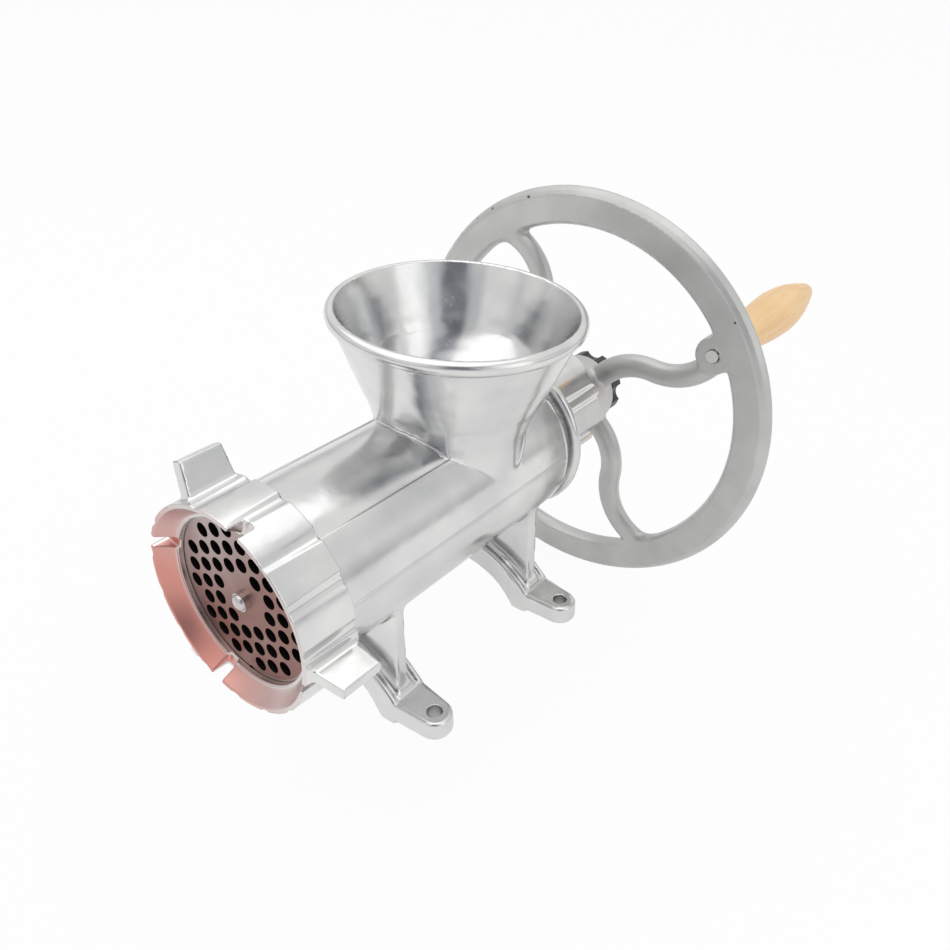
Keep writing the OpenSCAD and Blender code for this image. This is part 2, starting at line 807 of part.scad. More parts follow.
module knob_nut() {
    lobe_turn = 3;
    scallop_r = knob_r * 0.3;
    boss_t = knob_t / 5;
    color("dimgray") on_axis() difference() {
        union() {
            plank(knob_y, knob_y + knob_t - boss_t) difference() {
                circle(knob_r, $fn = 96);
                for (i = [0 : knob_lobes - 1]) {
                    rotate(lobe_turn + 360 * i / knob_lobes)
                        translate([knob_r + scallop_r * 0.45, 0]) circle(scallop_r, $fn = 32);
                }
            }
            rod(knob_r / 2, knob_y, knob_y + knob_t);
        }
        rod(shaft_thread_r + running_gap, knob_y - over, knob_y + knob_t + over);
    }
}

module at_grip() {
    on_axis() around(grip_angle) translate([grip_throw, 0, 0]) children();
}

module handle_spindle() {
    head_y = grip_end - spindle_head_t * 4 / 3;
    color("lightgray") at_grip() {
        rod(spindle_r, rim_y - spindle_stand, head_y);
        rod(spindle_head_r, head_y - spindle_head_t, head_y);
    }
}

module grip_washer() {
    color("silver") at_grip() difference() {
        rod(2 * spindle_r, lug_end, lug_end + grip_washer_t);
        rod(spindle_r, lug_end - over, lug_end + grip_washer_t + over);
    }
}

module grip() {
    head_seat = grip_end - spindle_head_t * 7 / 3 - free_gap;
    outline = [for (p = grip_shares) [grip_r * p[1], grip_y + grip_l * p[0]]];
    color("burlywood") at_grip() difference() {
        turned() polygon(concat([[0, grip_y]], outline, [[0, grip_end]]));
        rod(spindle_r + running_gap, grip_y - over, grip_end + over);
        rod(spindle_head_r + free_gap, head_seat, grip_end + over);
    }
}

barrel();
hopper();
rear_housing();
leg_front_left();
leg_front_right();
leg_rear_left();
leg_rear_right();
cutting_plate();
plate_pin();
ring_nut();
knife();
auger();
auger_stud();
thrust_washer();
rear_bushing();
drive_shaft();
handwheel();
hub_washer();
knob_nut();
handle_spindle();
grip_washer();
grip();
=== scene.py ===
"""Hand cranked meat grinder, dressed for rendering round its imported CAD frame.

The fields below give distances in millimetres in the grinder's own coordinates: x to the right, s backwards
along the barrel from the hole plate's front face, h upwards from the barrel's axis.
"""
import bpy, math
import numpy as np
from mathutils import Matrix, Vector


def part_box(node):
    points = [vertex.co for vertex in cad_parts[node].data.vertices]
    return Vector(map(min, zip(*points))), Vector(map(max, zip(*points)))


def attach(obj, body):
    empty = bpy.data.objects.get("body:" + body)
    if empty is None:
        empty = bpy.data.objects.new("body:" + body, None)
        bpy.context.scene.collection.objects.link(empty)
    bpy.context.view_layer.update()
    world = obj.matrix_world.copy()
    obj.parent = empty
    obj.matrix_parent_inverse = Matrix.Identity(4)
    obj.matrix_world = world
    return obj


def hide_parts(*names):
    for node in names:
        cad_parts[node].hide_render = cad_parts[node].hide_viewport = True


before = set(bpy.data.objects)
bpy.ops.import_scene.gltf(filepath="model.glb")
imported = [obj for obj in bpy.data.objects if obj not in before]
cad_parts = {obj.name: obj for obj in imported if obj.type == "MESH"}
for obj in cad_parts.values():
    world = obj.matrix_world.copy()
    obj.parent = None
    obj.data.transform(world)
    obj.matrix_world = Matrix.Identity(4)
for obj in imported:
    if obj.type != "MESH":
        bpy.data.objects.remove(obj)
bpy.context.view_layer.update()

MM = 0.001

# The photograph's viewpoint: place in metres; heading from +Y to the left, pitch and roll in degrees; lens
# and sensor width in millimetres
CAMERA_PLACE = (0.27195, -0.31167, 0.38479)
CAMERA_HEADING = 36.598
CAMERA_PITCH = -33.871
CAMERA_ROLL = 3.933
CAMERA_LENS = 32.908
CAMERA_SENSOR = 36

# How far cuts reach past the metal, and where those that are open at the front begin
CUT_OVER = 5
OPEN_END = -20

# Where the barrel's axis and the plate's front face lie in the frame
plate_low, plate_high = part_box("cutting_plate")
AXIS_Z = (plate_low[2] + plate_high[2]) / 2
PLATE_Y = plate_low[1]

# Barrel and collar. Names in _EDGE are the roundness of an edge, names in _FILLET that of an inner corner.
BARREL_R = 48.7
BARREL_START = 10
BARREL_END = 214.5
SHOULDER_R = 7
COLLAR_R = 53
COLLAR_FRONT = 1
COLLAR_END = 19.8
COLLAR_EDGE = 0.8
COLLAR_FILLET = 0.5
CROWN_HALF_ANGLE = math.radians(36.8)
CROWN_DEPTH = 0.8
CREASE_TURN = 0.007
BEAD_H = 7
BEAD_R = 1
BEAD_FILLET = 0.35
BORE_R = 42.9
BORE_END = 205
SEAT_R = 49.5
SEAT_END = 9.5
PIN_R = 2.4
PIN_POS = 48
PIN_END = 16
BORE_EDGE = 0.3
CAVITY_EDGE = 0.6

# Hopper
HOPPER_S = 154.6
NECK_S = 152
NECK_SPREAD = 5.5
RIM_H = 103
RIM_BEAD_POS = 67.05
RIM_BEAD_R = 4
RIM_BEAD_FILLET = 0.8
RIM_EDGE = 0.5
NECK_FILLET = 1.2
MOUTH_FILLET = 1
# Heights between which the neck's oval turns into the round cone, outside and inside
OVAL_TO_CONE = (44, 72)
FUNNEL_EDGE_H = 70
THROAT_H = 50
# The fields of the slanted walls are scaled down to true distances
OUTER_SLOPE = 0.93
INNER_SLOPE = 0.85
# Outer radius of the hopper at some heights, where the neck flares into the cone
HOPPER_HEIGHTS = [0, 18, 36, 42, 48, 54, 60, 66, 84, 103]
HOPPER_RADII = [39, 39, 39.4, 40.6, 42.6, 45.9, 50.2, 54.2, 61.8, 69.4]
# The same for its inside, where the funnel turns into the cone
INNER_HEIGHTS = [40, 50, 60, 70, 80, 103, 123]
INNER_RADII = [30, 34.3, 43.4, 51.4, 55.9, 64.7, 72.3]
# Folds down the neck: angle round it in degrees, how far each stands out, half width in degrees
NECK_FOLDS = [(-51, 1.3, 6), (-92, 0.9, 7), (-72, -0.7, 9), (12, 0.5, 12)]

# Rear housing
FLANGE_R = 50.5
FLANGE_S = (217, 223.5)
FLANGE_EDGE = 3.2
FLANGE_FILLET = 2.5
NECKING_R = 41.7
NECKING_EDGE = 1
NECKING_FILLET = 1.5
HOUSING_R = 28.5
HOUSING_END = 277
HOUSING_EDGE = 1.5
HOUSING_FILLET = 0.8
HOUSING_RIB_R = 32.6
HOUSING_RIB_W = 8
HOUSING_RIB_ANGLE = math.radians(37)
RIB_EDGE = 2
RIB_FILLET = 2
LOBE_H = 37
LOBE_SLOPE = math.radians(57)
LOBE_REACH = 29.3
LOBE_EDGE = 9
BUSH_R = 17

# Feet
FOOT_S = (64.7, 186.9)
FOOT_X = 69.5
FOOT_HOLE_R = 4.25
FOOT_TOP = -82
FOOT_BOTTOM = -94
FOOT_TIP_R = 10.5
FOOT_HEEL_X = 40.5
FOOT_HEEL_W = 13.5
FOOT_KNEE_X = 48
FOOT_DRAFT = 0.08
FOOT_HOLE_EDGE = 0.5
# The draft sets in over this distance on both sides of the heel
DRAFT_RUN = 5
# How far the foot runs in under the arch, and the arch on into the foot
FOOT_RUN_IN = 10
ARCH_RUN_ON = 4
HEEL_FLARE = 14
ARCH_HALF_W = 12
ARCH_CROWN = -63.1
ARCH_UNDER = -78.3
STRAP_EDGE = 2.5
UNDER_EDGE = 1.6
# Bead along both upper edges of the arch
ARCH_BEAD_R = 1.9
ARCH_BEAD_INSET = 1.6
ARCH_BEAD_FILLET = 1.2
WEB_HALF_T = 4
WEB_ANGLE = math.radians(30)
WEB_FOOT_X = 46
WEB_SINK = 8
WEB_EDGE = 1.6
WEB_FILLET = 6
LEG_FILLET = 3

# Stud end, with its dome
STUD_R = 5
STUD_FRONT = -3
STUD_DOME = 2.6
STUD_EDGE = 1.6

# The plate's outer edge is paler from the first radius to the second, a painted highlight
PLATE_HIGHLIGHT_R = (44.8, 45.6)

# Ring
RING_FRONT = -12
RING_BACK = 20.3
RING_BORE_R = 53.3
RING_R = 57.7
RING_TAPER = 0.9
RING_RIM_R = 54.5
RING_LEDGE_R = 47.7
RING_LIP_R = 46.3
RING_LIP_S = -3.5
RING_LIP_END = 1
RING_EDGE = 0.6
RING_BORE_EDGE = 0.4
# The dish bows outwards: its radius grows with its depth to this power
DISH_BOW = 0.8
DISH_SLOPE = 0.75
# The dish's curve runs on ahead of the ring's front, to this share of its depth
DISH_RUN_ON = 1.3
GROOVES = 15
GROOVE_TURN = math.radians(6.5)
GROOVE_R = 5
GROOVE_DEPTH = 1.8
GROOVE_EDGE = 0.8
LUG_ANGLES = [math.radians(a) for a in (-5.5, 114.5, 234.5)]
LUG_REACH = 75.3
LUG_HALF_T = 3.3
LUG_TAPER = 0.02
LUG_ROOT_R = 50
# Where the lug's front and back lie, at its root and at its tip
LUG_ROOT_S = (-9.6, 19)
LUG_TIP_S = (-6, 17.7)
LUG_EDGE = 1.3
LUG_FILLET = 3
NOTCH_ANGLES = [math.radians(75.5 + 90 * i) for i in range(4)]
NOTCH_HALF_W = 3.5
NOTCH_END = -2
NOTCH_START = -40
NOTCH_INNER_R = 20
NOTCH_CORNER_R = 1.5
NOTCH_EDGE = 0.9

# Handwheel
RIM_FRONT = 289.2
RIM_T = 12
WHEEL_R = 141.6
RIM_FACE_R = (120.2, 136.2)
RIM_INNER_R = 117.1
RIM_EDGE_R = 1.2
# The rim's outer edge is bevelled over this width and depth, and both edges bulge a little
RIM_BEVEL_W = 2
RIM_BEVEL_DEPTH = 2.4
RIM_BEVEL_INSET = 0.3
RIM_BULGE = 0.6
RIM_BULGE_DEPTH = 3
HUB_S = (279, 303)
HUB_R = 25
HUB_EDGE = 1.5
HUB_FILLET = 3
# Beyond this radius the wheel is no thicker than its rim
HUB_CLEAR_R = 60
WHEEL_EDGE = 0.3
SPOKES = 4
SPOKE_TURN = math.radians(40)
SPOKE_ROOT_R = 8.2
SPOKE_TIP_R = 7.7
SPOKE_FILLET = 5
SPOKE_RUN_OUT = 8
SPOKE_CREST = (35.95, 4.57)
SPOKE_TROUGH = (94.03, -18.74)
SQUARE_HALF = 8.5
GRIP_LUG_ANGLE = math.radians(33.8)
GRIP_LUG_THROW = 112.9
GRIP_LUG_R = 12
GRIP_LUG_EDGE = 1
GRIP_LUG_FILLET = 2.5
SPINDLE_R = 4
# Paint chips on the rim's front: angle in degrees, radius, size
CHIPS = [(141.4, 140.3, 1.1), (133.4, 139.8, 0.8), (126.6, 139.0, 1.2), (112.8, 137.2, 0.9),
         (40.5, 135.0, 0.8)]
# How far the rim's front falls back towards its edge: radii and depths
BEVEL_RADII = [RIM_FACE_R[1], WHEEL_R - 2.1, WHEEL_R]
BEVEL_DEPTHS = [0, 2.2, RIM_T / 2]

# Grids of the skins: their reach, their steps across and along the axis, and their finer steps
CASTING_X = (-82, 82)
CASTING_S = (-1, 279)
CASTING_H = (-96, 109)
CASTING_STEP = 1.5
CASTING_STEP_ALONG = 1.7
CASTING_FINE_STEP = 0.55
# The casting's grid is finer at the side beads, the crown's creases and the tops of the feet
CASTING_FINE_X = (-48.5, -29.2, 29.2, 48.5)
CASTING_FINE_H = (FOOT_TOP, BEAD_H, 39)
CASTING_FINE_REACH = 1.5
RING_GRID_R = (44, 77)
RING_GRID_S = (-13, 22)
RING_TURNS = 420
WHEEL_X = (-143, 143)
WHEEL_S = (277, 305)
WHEEL_STEP = 1.3
WHEEL_STEP_ALONG = 1.1

# Colours, linear
CAST_LIGHT = (0.76, 0.76, 0.75, 1)
CAST_GREY = (0.63, 0.635, 0.635, 1)
# Painted shade inside the feet's bolt holes
FOOT_HOLE_SHADE = (0.42, 0.42, 0.41, 1)
# Painted reflection: the salmon cast that the ring's dish mirrors
DISH_REFLECTION_TONE = (0.67, 0.30, 0.255, 1)
# The plate's painted reflection: warm, and paler towards the upper left
PLATE_WARM_REFLECTION = (0.27, 0.135, 0.115, 1)
PLATE_PALE_REFLECTION = (0.46, 0.39, 0.38, 1)
PLATE_CLOUD = (0.34, 0.24, 0.225, 1)
# Painted highlight round the plate's outer edge
PLATE_EDGE_HIGHLIGHT = (0.55, 0.50, 0.48, 1)
# Painted shade inside the plate's holes
PLATE_HOLE_SHADE = (0.05, 0.042, 0.04, 1)
PAINT_LIGHT = (0.58, 0.575, 0.565, 1)
PAINT_GREY = (0.49, 0.49, 0.485, 1)
PAINT_CHIPPED = (0.11, 0.105, 0.10, 1)
WOOD_LIGHT = (0.93, 0.64, 0.34, 1)
WOOD_DARK = (0.85, 0.54, 0.26, 1)
WOOD_PALE = (0.95, 0.72, 0.44, 1)
KNOB_TONE = (0.028, 0.028, 0.03, 1)
FLOOR_TONE = (0.92, 0.92, 0.92, 1)
SKY_LOW = (0.55, 0.55, 0.555, 1)
SKY_HIGH = (0.92, 0.92, 0.915, 1)
SKY_BAND = (0.44, 0.45, 0.47, 1)
SKY_BEHIND = (0.45, 0.45, 0.47, 1)
SKY_PATCH = (0.17, 0.175, 0.21, 1)
AMBIENT = (0.72, 0.72, 0.72, 1)
WHITE = (1.0, 1.0, 1.0, 1)

# Turned and ground metals: colour, roughness, depth of the grain in millimetres
METALS = {
    "bright_steel": ((0.72, 0.72, 0.71), 0.2, 0.01),
    "stud_steel": ((0.60, 0.58, 0.57), 0.26, 0.02),
    "zinc_steel": ((0.66, 0.67, 0.68), 0.28, 0.01),
    "screw_aluminium": ((0.70, 0.71, 0.71), 0.36, 0.03),
    "knife_steel": ((0.45, 0.45, 0.45), 0.3, 0.01),
    "bronze": ((0.62, 0.42, 0.20), 0.3, 0.01),
}

# What the metal mirrors: the way to the side with upright bands and to the grey place behind
BANDS_WAY = (0.26, -0.966, 0.0)
BEHIND_WAY = (0.557, 0.667, 0.495)
# The dark patch at one side: its middle in degrees from +X, and its half widths
PATCH_MIDDLE = -39
PATCH_SOFT_HALF = 24
PATCH_FULL_HALF = 21

# Floor, in metres
FLOOR_HALF = 12
FLOOR_Z = -0.052
FLOOR_GLOW = 0.93
UNDER_GRINDER = (0.0, 0.16, FLOOR_Z)

# Lamps: place, size and aim in metres, power in watts
LAMPS = {"overhead_light": ((-0.4, -0.2, 1.9), 2.6, 13), "side_light": ((1.5, -0.2, 0.9), 1.4, 3)}
LAMP_AIM = (0.0, 0.03, 0.09)


def union(a, b, blend=0.01):
    """Two solids joined, with a fillet about as large as blend."""
    share = np.clip(0.5 + 0.5 * (b - a) / blend, 0, 1)
    return b + (a - b) * share - blend * share * (1 - share)


def common(a, b, blend=0.01):
    """What two solids share, its edge rounded."""
    return -union(-a, -b, blend)


def without(a, b, blend=0.01):
    """The first solid less the second, the edge rounded."""
    return -union(-a, b, blend)


def slab(v, low, high):
    return np.maximum(low - v, v - high)


def rounded_box(u, v, u_span, v_span, r):
    """A rectangle with round corners."""
    du = np.abs(u - (u_span[0] + u_span[1]) / 2) - (u_span[1] - u_span[0]) / 2 + r
    dv = np.abs(v - (v_span[0] + v_span[1]) / 2) - (v_span[1] - v_span[0]) / 2 + r
    return np.hypot(np.maximum(du, 0), np.maximum(dv, 0)) + np.minimum(np.maximum(du, dv), 0) - r


def disc(rho, s, r, span, edge):
    """A round plate or drum on the axis with a rounded edge."""
    return rounded_box(rho, s, (-r, r), span, edge)


def step(v, low, high):
    t = np.clip((v - low) / (high - low), 0, 1)
    return t * t * (3 - 2 * t)


def curve(v, places, values):
    """A smooth curve through the given values, level beyond its ends."""
    places, values = np.asarray(places, float), np.asarray(values, float)
    slopes = np.gradient(values, places)
    i = np.clip(np.searchsorted(places, v) - 1, 0, len(places) - 2)
    width = places[i + 1] - places[i]
    t = np.clip((v - places[i]) / width, 0, 1)
    a, b = values[i], values[i + 1]
    da, db = slopes[i] * width, slopes[i + 1] * width
    return a + t * (da + t * (3 * (b - a) - 2 * da - db + t * (2 * (a - b) + da + db)))


def polygon(u, v, points):
    """Signed distance to a closed outline."""
    best = np.full(np.shape(u), 1e9)
    inside = np.zeros(np.shape(u), bool)
    for (au, av), (bu, bv) in zip(points, points[1:] + points[:1]):
        eu, ev = bu - au, bv - av
        t = np.clip(((u - au) * eu + (v - av) * ev) / (eu * eu + ev * ev), 0, 1)
        best = np.minimum(best, np.hypot(u - au - t * eu, v - av - t * ev))
        crosses = (av > v) != (bv > v)
        inside ^= crosses & (u < au + (v - av) * eu / (ev if ev else 1e-9))
    return np.where(inside, -best, best)


def barrel_field(x, s, h, rho):
    turn = np.abs(np.arctan2(x, h))
    outside = step(turn, CROWN_HALF_ANGLE - CREASE_TURN, CROWN_HALF_ANGLE + CREASE_TURN)
    drum = disc(rho, s, BARREL_R, (BARREL_START, BARREL_END), SHOULDER_R) + CROWN_DEPTH * (1 - outside)
    bead_x = math.sqrt(BARREL_R ** 2 - BEAD_H ** 2)
    bead = np.hypot(np.abs(x) - bead_x, h - BEAD_H) - BEAD_R
    bead = np.maximum(bead, slab(s, COLLAR_END, BARREL_END - SHOULDER_R))
    collar = disc(rho, s, COLLAR_R, (COLLAR_FRONT, COLLAR_END), COLLAR_EDGE)
    return union(union(drum, bead, BEAD_FILLET), collar, COLLAR_FILLET)


def hopper_outer_field(x, s, h):
    into_cone = step(h, *OVAL_TO_CONE)
    centre = NECK_S + (HOPPER_S - NECK_S) * into_cone
    side = np.maximum(np.abs(x) - NECK_SPREAD * (1 - into_cone), 0)
    radius = curve(h, HOPPER_HEIGHTS, HOPPER_RADII)
    angle = np.degrees(np.arctan2(s - centre, x))
    for fold, height, width in NECK_FOLDS:
        radius = radius + height * (1 - into_cone) * np.exp(-((angle - fold) / width) ** 2)
    wall = (np.hypot(side, s - centre) - radius) * OUTER_SLOPE
    cone = common(wall, slab(h, 0, RIM_H), RIM_EDGE)
    bead = np.hypot(np.hypot(x, s - HOPPER_S) - RIM_BEAD_POS, h - RIM_H) - RIM_BEAD_R
    return union(cone, bead, RIM_BEAD_FILLET)


def hopper_inner_field(x, s, h):
    into_cone = np.clip((h - THROAT_H) / (FUNNEL_EDGE_H - THROAT_H), 0, 1)
    centre = NECK_S + (HOPPER_S - NECK_S) * into_cone
    side = np.maximum(np.abs(x) - NECK_SPREAD * (1 - into_cone), 0)
    radius = np.maximum(curve(h, INNER_HEIGHTS, INNER_RADII), INNER_RADII[1])
    return np.maximum((np.hypot(side, s - centre) - radius) * INNER_SLOPE, -h)


def housing_field(x, s, h, rho):
    section = rho - HOUSING_R
    c, n = math.cos(HOUSING_RIB_ANGLE), math.sin(HOUSING_RIB_ANGLE)
    u, v = np.abs(x) * c + np.abs(h) * n, np.abs(h) * c - np.abs(x) * n
    rib = rounded_box(u, v, (0, HOUSING_RIB_R), (-HOUSING_RIB_W / 2, HOUSING_RIB_W / 2), RIB_EDGE)
    section = union(section, rib, RIB_FILLET)
    slope = math.cos(LOBE_SLOPE) * h + math.sin(LOBE_SLOPE) * np.abs(x) - LOBE_REACH
    lobe = np.maximum(common(h - LOBE_H, slope, LOBE_EDGE), -h)
    section = union(section, lobe, RIB_FILLET)
    boss = common(section, slab(s, FLANGE_S[0], HOUSING_END), HOUSING_EDGE)
    flange = disc(rho, s, FLANGE_R, FLANGE_S, FLANGE_EDGE)
    necking = disc(rho, s, NECKING_R, (BORE_END, FLANGE_S[1]), NECKING_EDGE)
    return union(union(boss, flange, FLANGE_FILLET), necking, NECKING_FILLET)


def leg_field(x, s, h, foot_s):
    u, v = np.abs(x), s - foot_s
    rise = ARCH_CROWN - FOOT_TOP
    arch_r = (FOOT_KNEE_X ** 2 + rise ** 2) / (2 * rise)
    rise = ARCH_UNDER - FOOT_BOTTOM
    under_r = (FOOT_HEEL_X ** 2 + rise ** 2) / (2 * rise)
    over_arch = np.hypot(u, h - ARCH_CROWN + arch_r) - arch_r
    under = np.hypot(u, h - ARCH_UNDER + under_r) - under_r
    arch = np.maximum(over_arch, u - FOOT_KNEE_X - ARCH_RUN_ON)
    foot = np.maximum(slab(h, FOOT_BOTTOM, FOOT_TOP), FOOT_HEEL_X - FOOT_RUN_IN - u)
    strap = union(arch, foot, STRAP_EDGE)

    # Plan of the strap: straight under the barrel, widest at the heel, round at the tip
    lean = math.asin((FOOT_HEEL_W - FOOT_TIP_R) / (FOOT_X - FOOT_HEEL_X))
    side = np.abs(v) * math.cos(lean) + (u - FOOT_X) * math.sin(lean) - FOOT_TIP_R
    tip = np.hypot(u - FOOT_X, v) - FOOT_TIP_R
    flare = step(u, FOOT_HEEL_X - HEEL_FLARE, FOOT_HEEL_X)
    narrow = np.abs(v) - ARCH_HALF_W - (FOOT_HEEL_W - ARCH_HALF_W) * flare
    plan = np.where(u > FOOT_X + FOOT_TIP_R * math.sin(lean), tip, np.maximum(side, narrow))
    on_foot = step(u, FOOT_HEEL_X - DRAFT_RUN, FOOT_HEEL_X + DRAFT_RUN)
    plan = plan + FOOT_DRAFT * (h - (FOOT_TOP + FOOT_BOTTOM) / 2) * on_foot
    strap = common(strap, plan, STRAP_EDGE)
    bead = np.hypot(over_arch, np.abs(v) - ARCH_HALF_W + ARCH_BEAD_INSET) - ARCH_BEAD_R
    bead = np.maximum(bead, u - FOOT_KNEE_X - ARCH_RUN_ON / 2)
    strap = union(strap, bead, ARCH_BEAD_FILLET)

    # Web between barrel and strap
    top = (BARREL_R * math.cos(WEB_ANGLE), -BARREL_R * math.sin(WEB_ANGLE))
    run = (WEB_FOOT_X - top[0], FOOT_TOP + WEB_SINK - top[1])
    length = math.hypot(*run)
    outer = ((u - top[0]) * -run[1] + (h - top[1]) * run[0]) / length
    web = common(outer, np.abs(v) - WEB_HALF_T, WEB_EDGE)
    web = np.maximum(web, slab(h, ARCH_UNDER - WEB_SINK, 0))
    leg = union(strap, web, WEB_FILLET)
    return without(leg, under, UNDER_EDGE)


def casting_field(x, s, h):
    """The whole body: barrel, hopper, housing and legs as one casting."""
    rho = np.hypot(x, h)
    solid = union(barrel_field(x, s, h, rho), housing_field(x, s, h, rho), HOUSING_FILLET)
    solid = union(solid, hopper_outer_field(x, s, h), NECK_FILLET)
    for foot_s in FOOT_S:
        solid = union(solid, leg_field(x, s, h, foot_s), LEG_FILLET)
    hole = np.full_like(rho, 1e3)
    for foot_s in FOOT_S:
        hole = np.minimum(hole, np.hypot(np.abs(x) - FOOT_X, s - foot_s) - FOOT_HOLE_R)
    through_foot = slab(h, FOOT_BOTTOM - CUT_OVER, FOOT_TOP + CUT_OVER)
    solid = without(solid, np.maximum(hole, through_foot), FOOT_HOLE_EDGE)
    cavity = disc(rho, s, BORE_R, (OPEN_END, BORE_END), BORE_EDGE)
    cavity = union(cavity, disc(rho, s, SEAT_R, (OPEN_END, SEAT_END), BORE_EDGE))
    cavity = union(cavity, hopper_inner_field(x, s, h), MOUTH_FILLET)
    cavity = union(cavity, disc(rho, s, BUSH_R, (BORE_END - CUT_OVER, HOUSING_END + CUT_OVER), BORE_EDGE))
    pin = np.hypot(x, h + PIN_POS) - PIN_R
    cavity = union(cavity, np.maximum(pin, slab(s, OPEN_END, PIN_END)))
    return without(solid, cavity, CAVITY_EDGE)


def ring_field(x, s, h):
    """The screw ring."""
    rho = np.hypot(x, h)
    outer = RING_R - RING_TAPER * np.clip((RING_BACK - s) / (RING_BACK - RING_FRONT), 0, 1)
    body = common(rho - outer, slab(s, RING_FRONT, RING_BACK), RING_EDGE)
    angle = np.arctan2(h, x)
    pitch = 2 * math.pi / GROOVES
    local = (angle - GROOVE_TURN + pitch / 2) % pitch - pitch / 2
    groove_pos = RING_R + GROOVE_R - GROOVE_DEPTH
    groove = np.hypot(rho * np.cos(local) - groove_pos, rho * np.sin(local)) - GROOVE_R
    body = without(body, groove, GROOVE_EDGE)
    for lug_angle in LUG_ANGLES:
        u = x * math.cos(lug_angle) + h * math.sin(lug_angle)
        v = h * math.cos(lug_angle) - x * math.sin(lug_angle)
        outline = polygon(u, s, [(LUG_ROOT_R, LUG_ROOT_S[0]), (LUG_REACH, LUG_TIP_S[0]),
                                 (LUG_REACH, LUG_TIP_S[1]), (LUG_ROOT_R, LUG_ROOT_S[1])])
        lug = common(outline, np.abs(v) - LUG_HALF_T - LUG_TAPER * (LUG_REACH - u), LUG_EDGE)
        body = union(body, lug, LUG_FILLET)
    dish_depth = (RING_LIP_S - s) / (RING_LIP_S - RING_FRONT)
    dish_r = RING_LEDGE_R + (RING_RIM_R - RING_LEDGE_R) * (np.clip(dish_depth, 0, DISH_RUN_ON) ** DISH_BOW)
    dish = np.maximum((rho - dish_r) * DISH_SLOPE, s - RING_LIP_S)
    dish = np.minimum(dish, np.maximum(rho - RING_LIP_R, s - RING_LIP_END))
    bore = np.maximum(rho - RING_BORE_R, -s)
    body = without(body, dish, RING_BORE_EDGE)
    body = without(body, bore, RING_BORE_EDGE)
    for notch_angle in NOTCH_ANGLES:
        u = x * math.cos(notch_angle) + h * math.sin(notch_angle)
        v = h * math.cos(notch_angle) - x * math.sin(notch_angle)
        notch = rounded_box(v, s, (-NOTCH_HALF_W, NOTCH_HALF_W), (NOTCH_START, NOTCH_END), NOTCH_CORNER_R)
        body = without(body, np.maximum(notch, NOTCH_INNER_R - u), NOTCH_EDGE)
    return body


def spoke_field(x, h, s, turn):
    """An S-shaped spoke of round section: two equal arcs, swept."""
    u = x * math.cos(turn) + h * math.sin(turn)
    v = h * math.cos(turn) - x * math.sin(turn)
    run = (SPOKE_TROUGH[0] - SPOKE_CREST[0], SPOKE_TROUGH[1] - SPOKE_CREST[1])
    bend = (run[0] ** 2 + run[1] ** 2) / (-4 * run[1])
    middle = ((SPOKE_CREST[0] + SPOKE_TROUGH[0]) / 2, (SPOKE_CREST[1] + SPOKE_TROUGH[1]) / 2)
    near_v = v - SPOKE_CREST[1] + bend
    near = np.abs(np.hypot(u - SPOKE_CREST[0], near_v) - bend)
    far = np.abs(np.hypot(u - SPOKE_TROUGH[0], v - SPOKE_TROUGH[1] - bend) - bend)
    # The arcs meet on the line through the middle, square to the curve there
    normal = (middle[0] - SPOKE_CREST[0], middle[1] - SPOKE_CREST[1] + bend)
    side = (u - middle[0]) * -normal[1] + (v - middle[1]) * normal[0]
    off = np.where(side > 0, near, far)
    thick = SPOKE_ROOT_R + (SPOKE_TIP_R - SPOKE_ROOT_R) * np.clip(u / RIM_INNER_R, 0, 1)
    depth_share = (RIM_T / 2) / SPOKE_ROOT_R
    tube = np.hypot(off, (s - RIM_FRONT - RIM_T / 2) / depth_share) - thick
    # The near arc ends inside the hub
    half_chord = math.sqrt(bend ** 2 - SPOKE_CREST[0] ** 2)
    past_hub = -(SPOKE_CREST[0] * near_v + half_chord * (u - SPOKE_CREST[0])) / bend
    return np.maximum(tube * depth_share, past_hub)


def wheel_field(x, s, h):
    """The handwheel."""
    rho = np.hypot(x, h)
    # Half of the rim's outline, drawn RIM_EDGE_R inside its surface, so that its corners come out round
    e = RIM_EDGE_R
    half = [(RIM_INNER_R + RIM_BULGE + e, RIM_BULGE_DEPTH), (RIM_FACE_R[0], e),
            (RIM_FACE_R[1] - RIM_BEVEL_INSET, e), (WHEEL_R - RIM_BEVEL_W - e, RIM_BEVEL_DEPTH + e / 2)]
    mirrored = [(r, RIM_T - depth) for r, depth in reversed(half)]
    outline = half + [(WHEEL_R - e, RIM_T / 2)] + mirrored + [(RIM_INNER_R + e, RIM_T / 2)]
    wheel = polygon(rho, s - RIM_FRONT, outline) - e
    for i in range(SPOKES):
        spoke = spoke_field(x, h, s, SPOKE_TURN + 2 * math.pi * i / SPOKES)
        spoke = np.maximum(spoke, rho - WHEEL_R + SPOKE_RUN_OUT)
        wheel = union(wheel, spoke, SPOKE_FILLET)
    hub = disc(rho, s, HUB_R, HUB_S, HUB_EDGE)
    wheel = union(wheel, hub, HUB_FILLET)
    lug_x = GRIP_LUG_THROW * math.cos(GRIP_LUG_ANGLE)
    lug_h = GRIP_LUG_THROW * math.sin(GRIP_LUG_ANGLE)
    from_lug = np.hypot(x - lug_x, h - lug_h)
    rim_s = (RIM_FRONT, RIM_FRONT + RIM_T)
    lug = rounded_box(from_lug, s, (-GRIP_LUG_R, GRIP_LUG_R), rim_s, GRIP_LUG_EDGE)
    wheel = union(wheel, lug, GRIP_LUG_FILLET)
    within_rim = slab(s, *rim_s)
    wheel = common(wheel, np.where(rho > HUB_CLEAR_R, within_rim, -10.0), WHEEL_EDGE)
    square = np.maximum(np.abs(x), np.abs(h)) - SQUARE_HALF
    wheel = without(wheel, square, WHEEL_EDGE)
    return without(wheel, from_lug - SPINDLE_R, WHEEL_EDGE)


